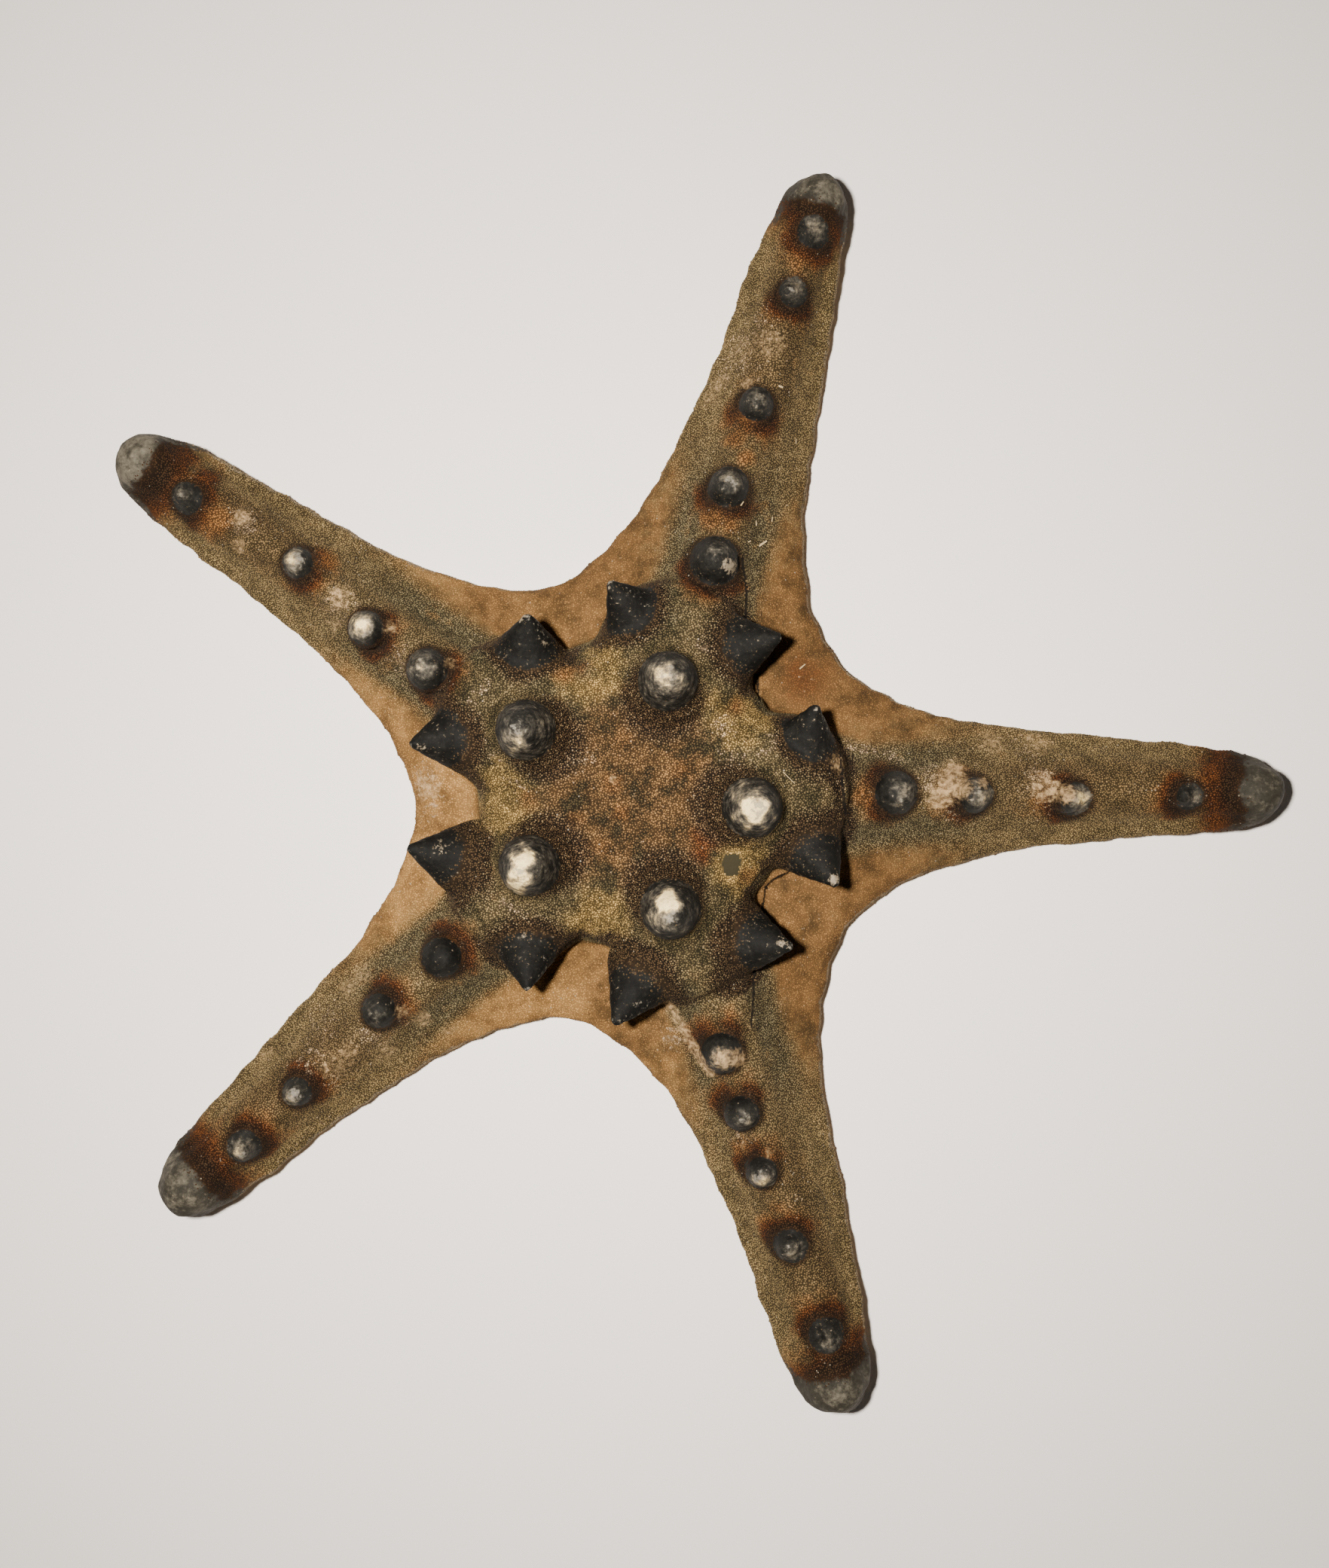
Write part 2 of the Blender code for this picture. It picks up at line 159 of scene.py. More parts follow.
# where things grow on the animal: millimetres along each arm and to its left
arms = [
    {"name": "right", "heading": 0.0, "reach": 80.4, "sway": (-0.7, 0.4, 0.3), "cap": (3.3, 0.25, -0.38, 3.4), "tipShift": (-1.2, 0.0),
     "knobs": ((31.2, -0.1, 0.6, 2.5), (40.8, -0.4, 0.75, 2.1), (52.9, -0.9, 0.95, 1.95),
               (66.6, -0.6, 0.6, 1.6)),
     "horns": (((20.0, 4.2), (21.2, 10.0), 20.5), ((20.3, -5.6), (23.7, -10.9), 20.0)),
     "primary": (13.6, -1.7), "crown": ((0.15, -0.4, 1.8, 1.2), (-1.3, 1.6, 1.2, 0.6))},
    {"name": "upper", "heading": 72.5, "reach": 79.1, "sway": (-0.9, -0.3, -0.4), "cap": (2.3, 0.58, 0.05, 4.2), "tipShift": (-1.0, 0.0),
     "knobs": ((29.1, -0.9, 0.36, 2.9), (38.1, 0.2, 0.55, 2.4), (48.7, 0.0, 0.5, 2.0), (62.9, -0.2, 0.65, 1.7),
               (70.4, -0.3, 0.62, 1.9)),
     "horns": (((19.0, 4.9), (22.4, 9.9), 21.0), ((19.4, -5.4), (22.4, -10.9), 20.0)),
     "primary": (13.3, 0.0), "crown": ((-0.58, 0.58, 1.5, 0.8), (1.3, -0.4, 1.0, 0.7))},
    {"name": "left_upper", "heading": 147.5, "reach": 74.9, "sway": (-0.4, -1.2, -1.5), "cap": (2.75, 0.8, -0.25, 5.2), "tipShift": (-0.5, 0.5),
     "knobs": ((28.5, 0.9, 0.65, 2.4), (37.4, 0.7, 1.1, 2.05), (48.7, -1.5, 0.9, 1.8), (64.1, -0.9, 0.45, 1.8)),
     "horns": (((20.4, 5.2), (24.9, 9.2), 20.0), ((19.0, -6.2), (21.3, -10.7), 21.0)),
     "primary": (14.1, 0.6), "crown": ((-1.07, -1.26, 1.4, 0.68), (2.1, 0.9, 1.0, 0.5))},
    {"name": "left_lower", "heading": 221.1, "reach": 75.5, "sway": (0.7, 0.0, 0.1), "cap": (3.2, 0.45, -0.15, 4.4), "tipShift": (-0.3, -0.8),
     "knobs": ((30.1, -0.2, 0.0, 2.3), (40.1, -0.3, 0.45, 2.0), (54.1, 0.5, 0.75, 1.7),
               (63.2, 1.2, 0.7, 1.9)),
     "horns": (((20.6, 4.6), (24.4, 9.1), 20.5), ((20.4, -7.0), (24.2, -12.4), 19.5)),
     "primary": (14.4, -1.5),
     "crown": ((-0.45, 0.6, 1.3, 1.2), (-0.9, -0.9, 1.4, 1.05), (-1.4, -2.4, 1.2, 0.9))},
    {"name": "lower", "heading": 289.8, "reach": 80.3, "sway": (1.5, 0.7, 0.1), "cap": (2.5, 0.55, 0.2, 5.2), "tipShift": (-1.4, 0.0),
     "knobs": ((32.8, -0.7, 0.6, 2.4), (40.5, -0.9, 0.5, 2.05), (48.1, -1.1, 0.85, 1.85),
               (57.7, -0.8, 0.6, 2.0), (69.1, -0.4, 0.5, 2.1)),
     "horns": (((20.6, 5.8), (23.2, 11.2), 20.0), ((20.4, -5.9), (24.6, -11.2), 20.5)),
     "primary": (14.0, -0.5), "crown": ((-0.38, 0.9, 1.3, 1.3), (-1.36, -0.8, 1.2, 0.7))},
]
growth = {
    "swayAt": (28.0, 50.0, 70.0),
    "hornFoot": 14.6,
    "hornRadius": 5.0,
    "tipRise": 1.3,
}
creases = [  # folds in the skin, in plan from the disc's middle, with the lower side on the right; a painted shadow line runs along each
    ((12.88, 28.27), (13.10, 26.74), (13.38, 25.20), (13.51, 24.03), (13.42, 22.68), (13.38, 20.96)),
    ((14.89, 14.15), (15.0, 12.6), (15.07, 10.9)),
    ((15.31, -14.58), (15.71, -13.36), (15.92, -11.52), (16.89, -10.72), (17.95, -10.20), (19.18, -9.49)),
    ((14.51, -21.28), (14.32, -22.35), (14.22, -24.65), (14.01, -27.91)),
    ((24.39, 4.6), (24.5, 1.64), (24.7, -0.77), (24.97, -2.55)),
]


def toPlan(arm, along, across):
    turn = math.radians(arm["heading"])
    return np.array((along * math.cos(turn) - across * math.sin(turn),
                     along * math.sin(turn) + across * math.cos(turn)))


def swayOf(arm, along):
    curve = np.polyfit(growth["swayAt"], arm["sway"], 2)
    return np.polyval(curve, along) * np.minimum(1.0, along / 24.0)


def armPlaces(plan):
    # nearest arm, then the place along it and across it from its swaying axis, in millimetres
    turns = np.degrees(np.arctan2(plan[:, 1], plan[:, 0]))
    headings = np.array([arm["heading"] for arm in arms])
    off = (turns[:, None] - headings[None, :] + 180.0) % 360.0 - 180.0
    nearest = np.abs(off).argmin(1)
    reach = np.hypot(plan[:, 0], plan[:, 1])
    angle = np.radians(off[np.arange(len(off)), nearest])
    along, across = reach * np.cos(angle), reach * np.sin(angle)
    for number, arm in enumerate(arms):
        own = nearest == number
        across[own] -= swayOf(arm, along[own])
    return nearest, along, across, np.abs(off).min(1)


# the skin: one closed piece over the whole animal, from a merged copy of the CAD solid
skinShape = {
    "weld": 0.001 * mm,
    "voxel": 0.44 * mm,
    "evenTurns": 5,
    "plateSize": 3.4 * mm,
    "plateRise": 0.28 * mm,
    "wrinkleSize": 5.0 * mm,
    "wrinkleRise": 0.38 * mm,
    "netSize": 2.3 * mm,
    "netRise": 0.22 * mm,
    "hornSize": 1.6 * mm,
    "hornRise": 0.26 * mm,
    "triangles": 194000,
    "creaseReach": 1.6,
    "creaseStep": 0.32,
    "tipTurns": 36,
    "footing": 0.2,  # room for the lower grains between the skin and the ground
}
skin = bpy.data.objects.new("dried_skin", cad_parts["starfish"].data.copy())
bpy.context.scene.collection.objects.link(skin)
skin.data.materials.clear()
selectOnly(skin)
bpy.ops.object.mode_set(mode="EDIT")
bpy.ops.mesh.select_all(action="SELECT")
bpy.ops.mesh.remove_doubles(threshold=skinShape["weld"])
bpy.ops.object.mode_set(mode="OBJECT")
applyModifier(skin, "REMESH", mode="VOXEL", voxel_size=skinShape["voxel"], use_smooth_shade=True)
applyModifier(skin, "SMOOTH", factor=0.5, iterations=skinShape["evenTurns"])
print("skin remeshed:", len(skin.data.vertices), "vertices")


def hornAxis(arm, base, tip, top):
    low = np.array((*toPlan(arm, *base), growth["hornFoot"]))
    return low, np.array((*toPlan(arm, *tip), top)) - low


def sharpenHorns(places):
    # draws the upper part of each side horn in towards its axis, and its tip a little outward
    for arm in arms:
        for base, tip, top in arm["horns"]:
            low, axis = hornAxis(arm, base, tip, top)
            share = (places - low) @ axis / (axis @ axis)
            outward = places - low - share[:, None] * axis
            side = np.linalg.norm(outward, axis=1)
            near = ramp(side, 4.2, 3.4) * ramp(share, 0.3, 0.45)
            slimmer = 0.08 * ramp(share, 0.25, 0.5) + 0.22 * ramp(share, 0.5, 1.0)
            places -= outward * (near * slimmer)[:, None]
            places += axis / np.linalg.norm(axis) * (near * 0.3 * ramp(share, 0.8, 1.0))[:, None]
    return places


def tipRise(arm, along):
    return growth["tipRise"] * ramp(along, arm["reach"] - 22.0, arm["reach"] - 5.0)


def settleTips(places):
    # rounds each arm's end and moves it a little sideways and upward, to where it lies in the view
    evened = neighbourMean(skin, places, skinShape["tipTurns"])
    for arm in arms:
        along = places[:, :2] @ toPlan(arm, 1.0, 0.0)
        across = places[:, :2] @ toPlan(arm, 0.0, 1.0)
        share = ramp(along, arm["reach"] - 28.0, arm["reach"] - 4.0) * (np.abs(across) < 16.0)
        end = ramp(along, arm["reach"] - 13.0, arm["reach"] - 7.0) * (np.abs(across) < 16.0)
        places += (evened - places) * end[:, None]
        places[:, :2] += np.outer(share, arm["tipShift"])
        places[:, 2] += tipRise(arm, along) * (np.abs(across) < 16.0)
    return places


def creaseDistance(places):
    # signed plan distance to the nearest fold: below zero on its left, up to 2 far from it
    found = np.full(len(places), 2.0)
    for line in creases:
        for start, end in zip(line[:-1], line[1:]):
            start, end = np.array(start), np.array(end)
            along = (places[:, :2] - start) @ (end - start) / ((end - start) @ (end - start))
            offset = places[:, :2] - start - np.clip(along, 0.0, 1.0)[:, None] * (end - start)
            away = np.hypot(*offset.T)
            onLeft = (end - start)[0] * offset[:, 1] - (end - start)[1] * offset[:, 0] > 0
            beyond = (along < -0.15) | (along > 1.15)
            nearer = (away < np.abs(found)) & ~beyond & (places[:, 2] > 4.0)
            found[nearer] = np.where(onLeft, -away, away)[nearer]
    return found


def hornMasks(places):
    # how bare and how worn each place is, from the horns, knobs and tip caps near it
    plan, height = places[:, :2], places[:, 2]
    masks = {name: np.zeros(len(places)) for name in
             ("bare", "crown", "collar", "hornSkin", "dusk", "rust", "orange", "wornTip", "cap", "capPale")}

    def raiseTo(name, values):
        masks[name] = np.maximum(masks[name], values)

    for arm in arms:
        foot = toPlan(arm, *arm["primary"])
        away = np.hypot(*(plan - foot).T)
        raiseTo("bare", ramp(away, 4.8, 4.3) * ramp(height, 22.0, 23.6))
        inward = foot * (1.0 - 2.1 / np.hypot(*foot))  # the dark skin reaches further towards the middle
        raiseTo("collar", 0.9 * ramp(np.hypot(*(plan - inward).T), 6.9, 3.3) * ramp(height, 16.0, 19.0))
        onTop = ramp(height, 21.5, 23.5) * ramp(away, 4.8, 4.3)
        raiseTo("crown", 0.30 * onTop)
        uneven = 1.0 + 0.26 * np.sin(2.6 * plan[:, 0]) * np.cos(2.2 * plan[:, 1])
        for outX, outY, size, strength in arm["crown"]:
            crownAway = np.hypot(*(plan - foot - (outX, outY)).T) * uneven
            raiseTo("crown", (0.30 + (strength - 0.30) * ramp(crownAway, 1.5 * size, 0.25 * size)) * onTop)
        for base, tip, top in arm["horns"]:
            low, axis = hornAxis(arm, base, tip, top)
            share = (places - low) @ axis / (axis @ axis)
            side = np.linalg.norm(places - low - share[:, None] * axis, axis=1)
            reach = growth["hornRadius"] * np.clip(1.12 - share, 0.2, 1.2)
            near = ramp(side, reach + 0.5, reach)
            raiseTo("bare", near * ramp(share, 0.10, 0.56))
            raiseTo("collar", ramp(side, reach + 2.6, reach + 0.1) * ramp(share, -0.60, -0.04))
            raiseTo("hornSkin", ramp(side, reach + 0.9, reach) * ramp(share, 0.02, 0.25))
            raiseTo("wornTip", 0.9 * near * ramp(share, 0.86, 1.06))
            rightward = ramp((places - low)[:, 0] - share * axis[0], 0.35 * reach, 0.8 * reach)
            raiseTo("wornTip", 0.62 * near * rightward * ramp(share, 0.25, 0.6))
        heading = toPlan(arm, 1.0, 0.0)
        over = ramp(height, 6.0, 8.0)
        for along, across, paleness, radius in arm["knobs"]:
            offset = plan - toPlan(arm, along, across)
            away = np.hypot(*offset.T)
            inward = 0.5 - 0.5 * (offset @ heading) / np.maximum(away, 0.1)
            raiseTo("bare", ramp(away, radius + 0.45, radius - 0.25) * over)
            crownAway = np.hypot(*(offset - 0.3 * radius * heading).T)
            raiseTo("crown", np.clip(1.0 - crownAway / (1.3 * radius), 0.0, 1.0) * paleness * over)
            raiseTo("dusk", ramp(away, radius + 1.3 + 0.8 * inward, radius + 0.1) * (0.7 + 0.3 * inward) * over)
            raiseTo("rust", ramp(away, radius + 3.0, radius + 0.8) * (0.15 + 0.85 * ramp(inward, 0.4, 0.85)) * over)
            raiseTo("orange", 0.52 * ramp(away, radius + 4.6, radius + 1.9) * ramp(inward, 0.62, 0.95) * over)
        # the tip: a round bare cap, then a dark and a rusty band
        capRadius, capPale, bend, duskReach = arm["cap"]
        along, across = plan @ heading, plan @ toPlan(arm, 0.0, 1.0) - arm["sway"][2]
        before = arm["reach"] + heading @ arm["tipShift"] - capRadius - 0.2 - along
        onTip = ramp(along, 50.0, 56.0)
        raiseTo("cap", ramp(before - capRadius - bend * np.abs(across), 1.6, -1.4) * ramp(height, 3.0, 5.0) * onTip)
        middle = ramp(np.hypot(before, across), capRadius + 2.4, capRadius - 0.6)
        raiseTo("capPale", capPale * (0.3 + 0.7 * middle) * onTip)
        away = np.hypot(np.maximum(before, 0.0), 0.9 * across) - capRadius
        raiseTo("dusk", 0.94 * ramp(away, duskReach, 0.3 * duskReach) * onTip)
        raiseTo("rust", 0.9 * ramp(away, 6.6, 2.6) * onTip)
        raiseTo("orange", 0.5 * ramp(away, 9.0, 4.5) * onTip)
    for name in ("rust", "orange"):
        masks[name] *= ramp(height, 2.0, 5.0)
    return masks


def regionMasks(places, normals):
    plan, height = places[:, :2], places[:, 2]
    nearest, along, across, off = armPlaces(plan)
    reach = np.hypot(plan[:, 0], plan[:, 1])
    between = ramp(off, 14.0, 30.0)  # towards the notch between two arms
    masks = {}
    masks["under"] = ramp(normals[:, 2], 0.05, -0.3) * ramp(height, 9.5, 7.0)
    grooveHalf = np.interp(along, (0.0, 30.0, 60.0, 84.0), (3.0, 2.4, 1.7, 1.0))
    masks["groove"] = ramp(normals[:, 2], 0.3, -0.1) * ramp(np.abs(across), 0.95 * grooveHalf, 0.55 * grooveHalf)
    masks["groove"] *= ramp(height, 11.0, 9.0)
    masks["disc"] = ramp(reach, 15.0, 8.0) * ramp(height, 15.0, 18.0)
    masks["gold"] = between * ramp(reach, 9.0, 14.5) * ramp(reach, 20.5, 18.5) * ramp(height, 12.0, 17.0)
    wide = np.abs(across)
    masks["green"] = np.maximum(
        ramp(reach, 17.0, 19.5) * ramp(reach, 27.0, 22.0) * ramp(height, 7.5, 9.5) * ramp(height, 17.5, 15.0),
        ramp(wide, 1.5, 3.5) * ramp(wide, 7.5, 4.5) * ramp(along, 20.0, 25.0) * ramp(along, 48.0, 34.0))
    beside = ramp(along, 52.0, 32.0) * ramp(wide, 4.0, 8.0) * ramp(reach, 20.0, 24.0)
    flange = between * ramp(reach, 18.0, 20.0) + 0.8 * beside
    masks["flange"] = np.clip(flange, 0.0, 1.0) * ramp(height, 10.0, 8.5)
    masks["rise"] = ramp(reach, 29.0, 24.0) * ramp(height, 9.5, 12.5)
    masks["crest"] = (ramp(wide, 5.5, 2.0) * ramp(along, 38.0, 48.0)
                      * ramp(height, 7.0, 9.0))
    masks["paler"] = ramp(plan[:, 0] + 0.4 * plan[:, 1], 14.0, -26.0)  # paler towards the lower left
    return masks


def outlineDistance(piece, places, normals):
    # plan distance from each place to the margin of the animal
    wall = np.flatnonzero((np.abs(normals[:, 2]) < 0.35) & (places[:, 2] < 7.5) & (places[:, 2] > 1.0))
    reach = np.hypot(*places[wall, :2].T)
    wall = wall[reach > 22.0][::3]
    tree = kdtree.KDTree(len(wall))
    for number, index in enumerate(wall):
        tree.insert((places[index, 0], places[index, 1], 0.0), number)
    tree.balance()
    return np.array([tree.find((x, y, 0.0))[2] for x, y in places[:, :2]])


def localPlaces(piece):
    places = readPlaces(piece) / mm
    places[:, :2] -= discCentre / mm
    return places


def writeLocalPlaces(piece, places):
    moved = places * mm
    moved[:, :2] += discCentre
    piece.data.vertices.foreach_set("co", np.ascontiguousarray(moved, np.float32).ravel())
    piece.data.update()


def relief(piece, name, kind, size, rise, groupName, **settings):
    texture = bpy.data.textures.new(name, kind)
    texture.noise_scale = size
    for setting, value in settings.items():
        setattr(texture, setting, value)
    applyModifier(piece, "DISPLACE", texture=texture, strength=rise, mid_level=0.5,
                  texture_coords="LOCAL", vertex_group=groupName)


places = settleTips(sharpenHorns(localPlaces(skin)))
places[:, 2] = np.maximum(places[:, 2], skinShape["footing"])
crease = creaseDistance(places)
step = ramp(np.abs(crease), skinShape["creaseReach"], 0.0) * skinShape["creaseStep"]
places[:, 2] += np.where(crease < 0.0, step, -1.6 * step)
writeLocalPlaces(skin, places)
normals = readNormals(skin)
horn = hornMasks(places)
edge = outlineDistance(skin, places, normals)
bareAll = np.maximum(horn["bare"], horn["cap"])
topside = ramp(normals[:, 2], -0.2, 0.1)
groupFromMask(skin, "margin", ramp(edge, 2.6, 0.4) * ramp(places[:, 2], 0.2, 1.6))
groupFromMask(skin, "skinOnly", (1.0 - bareAll) * topside)
groupFromMask(skin, "hornOnly", bareAll)
relief(skin, "marginPlates", "VORONOI", skinShape["plateSize"], -skinShape["plateRise"] * 2.0, "margin")
relief(skin, "wrinkles", "CLOUDS", skinShape["wrinkleSize"], skinShape["wrinkleRise"], "skinOnly")
relief(skin, "plateNet", "VORONOI", skinShape["netSize"], skinShape["netRise"], "skinOnly")
relief(skin, "hornWear", "CLOUDS", skinShape["hornSize"], skinShape["hornRise"], "hornOnly")
skin.vertex_groups.clear()
triangles = sum(len(face.vertices) - 2 for face in skin.data.polygons)
applyModifier(skin, "DECIMATE", ratio=skinShape["triangles"] / triangles)
skin.data.shade_smooth()
print("skin shaped:", len(skin.data.polygons), "faces")

places = localPlaces(skin)
normals = readNormals(skin)
horn = hornMasks(places)
region = regionMasks(places, normals)
edge = outlineDistance(skin, places, normals)
evened = neighbourMean(skin, places, 40)
hollow = np.einsum("ij,ij->i", evened - places, normals)

dustPatches = [  # plan x and y from the disc's middle, radius, strength
    (36.0, 1.0, 3.2, 0.9), (38.8, -1.5, 2.6, 0.8), (48.9, 0.8, 3.0, 0.9), (50.7, -0.8, 2.4, 0.8),
    (48.1, 6.0, 3.0, 0.55), (13.0, 54.4, 3.0, 0.6), (15.2, 56.1, 2.8, 0.6), (10.4, 50.8, 3.2, 0.55),
    (13.4, 51.6, 2.2, 0.6), (-46.6, 32.1, 2.2, 0.9), (-35.2, 22.6, 3.0, 0.7), (-39.9, 27.4, 2.6, 0.7),
    (-27.5, 15.4, 2.6, 0.7), (-25.6, 1.5, 2.6, 0.75), (-25.2, -2.2, 2.4, 0.5), (-37.7, -27.8, 3.0, 0.6),
    (-38.8, -32.3, 2.8, 0.6), (-31.2, -29.1, 3.0, 0.7), (-29.0, -26.5, 2.6, 0.7), (4.6, -29.9, 1.8, 0.9),
    (12.9, -41.2, 2.0, 0.6), (10.5, 7.6, 2.0, 0.7), (16.7, 5.9, 2.0, 0.7),
    (-6.8, 3.6, 2.5, 0.75), (-36.3, -34.4, 2.4, 0.55), (-38.7, -41.0, 2.6, 0.45),
    (19.8, -49.7, 2.4, 0.3), (8.3, 16.7, 1.6, 0.9), (24.0, 0.9, 1.2, 1.0), (-10.7, -8.4, 2.4, 0.8), (11.5, 3.4, 1.6, 0.7),
]
smears = [  # width, strength and the places along each pale smear
    (0.7, 0.7, ((24.7, 5.5), (28.7, 5.05), (32.1, 3.9))),
    (0.6, 0.6, ((10.2, 4.4), (13.0, 3.9), (16.0, 5.0))),
    (0.8, 0.5, ((-16.6, 13.1), (-19.0, 10.8), (-18.4, 7.2), (-16.0, 3.6))),
    (0.5, 0.5, ((-15.3, 1.6), (-14.0, 1.3), (-12.9, 0.4))),
    (0.7, 0.75, ((-15.6, -12.9), (-13.2, -13.9), (-11.0, -15.1))),
]
crusts = [  # plan place, radius and strength of the cream crust on horns and knobs
    (11.4, 26.7, 1.5, 1.0), (10.6, -31.9, 1.3, 1.0), (12.0, -31.7, 1.2, 1.0), (23.4, -10.2, 1.3, 0.8),
    (17.2, -17.7, 1.5, 0.55), (7.4, -27.1, 1.2, 0.6), (-14.0, -11.2, 1.5, 0.8), (-13.0, 20.3, 0.9, 0.9),
    (-29.6, 17.0, 1.5, 0.9), (-46.8, 31.8, 1.4, 0.8), (-22.4, -6.5, 1.2, 0.6), (-24.5, 5.4, 1.0, 0.5),
    (-12.8, -16.5, 1.6, 0.45), (-10.3, 17.3, 1.1, 0.6),
]
chalkPatches = [  # chalky wear over knobs and skin
    (37.9, 1.0, 2.4, 1.0), (36.6, -0.5, 2.0, 1.0), (38.5, 2.6, 1.6, 0.9), (41.6, 1.0, 0.9, 0.8),
    (49.4, 0.3, 2.3, 0.75), (51.7, -0.3, 1.3, 1.0), (43.5, 6.0, 2.2, 0.52), (49.0, 6.2, 2.2, 0.55),
    (-47.0, 32.8, 1.3, 0.85), (-47.6, 29.6, 1.1, 0.65), (-35.2, 23.2, 1.8, 0.75), (-36.4, 20.2, 1.3, 0.5),
    (-28.8, 19.6, 1.2, 0.55), (-21.8, 15.3, 1.2, 0.5), (-36.1, -33.0, 2.4, 0.5), (-34.2, -31.2, 1.8, 0.5),
    (-25.5, -27.5, 1.4, 0.65), (-27.6, -26.3, 1.2, 0.6), (-33.0, -22.1, 1.6, 0.5), (-34.9, -23.9, 1.6, 0.55),
    (-45.2, -31.8, 1.4, 0.5), (-30.0, -31.5, 1.7, 0.5), (-22.7, -29.1, 1.3, 0.5), (16.4, 54.1, 3.0, 0.45),
    (12.8, 53.6, 2.6, 0.4), (9.9, 50.0, 2.3, 0.55), (8.7, 48.4, 2.0, 0.5), (13.6, 49.2, 1.0, 0.65),
    (13.0, -42.8, 1.0, 0.4), (16.2, -43.2, 0.9, 0.4), (26.6, -61.0, 1.6, 0.4), (24.0, 3.4, 1.3, 0.7),
    (10.6, -31.6, 1.5, 1.0), (12.1, -31.6, 1.3, 1.0), (-25.4, 0.6, 2.4, 0.72),
    (-2.4, 1.6, 0.55, 0.8), (-2.0, 0.8, 0.5, 0.8),
]
chalkSmear = (0.8, 0.76, ((3.9, -25.4), (5.9, -28.6), (7.2, -31.0), (9.2, -34.0)))
colourSpots = {  # plan place, radius and strength of single spots of colour
    "rust": ((20.5, 14.0, 4.6, 0.6), (-6.3, 14.7, 1.6, 0.45), (8.7, -5.1, 2.6, 0.9), (8.0, -7.4, 1.8, 0.8),
             (-6.5, -7.4, 2.2, 0.7), (27.1, -66.3, 1.8, 0.95), (21.5, -67.4, 1.8, 0.85), (23.6, -62.8, 1.7, 0.7),
             (-54.9, 40.5, 2.6, 1.0), (-58.6, 34.5, 2.0, 0.85), (-51.5, 37.8, 2.2, 0.9), (71.2, 3.9, 2.2, 0.85),
             (71.2, -3.1, 2.0, 0.85), (24.5, 68.1, 1.8, 0.95), (18.9, 66.8, 1.6, 0.85), (21.3, 64.7, 2.1, 1.0),
             (-52.5, -42.8, 2.0, 0.95), (-48.8, -45.5, 1.8, 0.85), (-44.9, -40.9, 1.4, 0.6)),
    "orange": ((-50.3, 32.5, 2.8, 1.0), (-37.4, 27.8, 2.0, 1.0), (27.2, -0.5, 2.2, 1.0), (19.6, 63.4, 1.6, 0.8),
               (-21.8, -17.9, 1.4, 0.9), (-20.6, -19.6, 1.2, 0.7), (9.6, -28.4, 1.8, 0.8), (-26.8, -26.0, 1.6, 0.7),
               (-2.3, 1.0, 1.6, 0.8), (-1.4, -2.5, 1.2, 1.0), (11.9, 9.9, 1.5, 0.8), (-12.5, -0.8, 2.0, 0.7),
               (-1.2, 5.8, 1.8, 0.5), (13.4, 44.8, 2.0, 1.0), (12.2, 42.4, 1.8, 1.0), (13.4, 40.0, 1.5, 0.9),
               (9.4, 32.6, 2.1, 1.0), (11.5, 31.7, 1.6, 0.9), (12.9, -43.0, 1.6, 1.0), (16.1, -43.3, 1.4, 1.0),
               (12.0, -35.6, 1.5, 0.8), (17.3, -50.2, 1.6, 0.6), (-7.0, -3.4, 1.8, 0.7), (-3.5, -6.4, 1.4, 0.5), (13.3, -10.0, 1.6, 0.7),
               (6.0, 2.6, 1.8, 0.6), (-8.3, 14.0, 1.8, 0.8), (-12.3, -17.0, 1.8, 0.6)),
    "gold": ((-16.6, -2.5, 2.8, 1.0), (-16.0, 2.4, 2.2, 0.9)),
    "green": ((11.7, 13.1, 2.4, 0.8), (-6.3, 14.7, 1.8, 0.7), (-9.2, 10.6, 2.2, 0.8), (-11.6, 13.0, 2.0, 0.7), (4.2, 20.0, 1.8, 0.9), (3.5, -13.6, 2.4, 0.8),
              (8.3, 3.6, 2.0, 0.7), (14.5, 7.0, 3.0, 0.8), (-9.2, -12.2, 2.0, 0.4), (12.2, -2.6, 2.4, 0.4)),
}
madreporite = {"place": (11.5, -8.5), "half": (1.15, 1.3)}


def patchMask(patches, spread=1.5, core=0.0):
    mask = np.zeros(len(places))
    for x, y, radius, strength in patches:
        away = np.hypot(places[:, 0] - x, places[:, 1] - y)
        mask = np.maximum(mask, strength * ramp(away, radius * spread, radius * core))
    return mask * ramp(places[:, 2], 3.0, 5.0)


def smearMask(width, strength, line):
    mask = np.zeros(len(places))
    for start, end in zip(line[:-1], line[1:]):
        start, end = np.array(start), np.array(end)
        along = np.clip((places[:, :2] - start) @ (end - start) / ((end - start) @ (end - start)), 0.0, 1.0)
        away = np.hypot(*(places[:, :2] - start - along[:, None] * (end - start)).T)
        mask = np.maximum(mask, strength * ramp(away, width * 1.3, width * 0.4) * ramp(places[:, 2], 3.0, 5.0))
    return mask


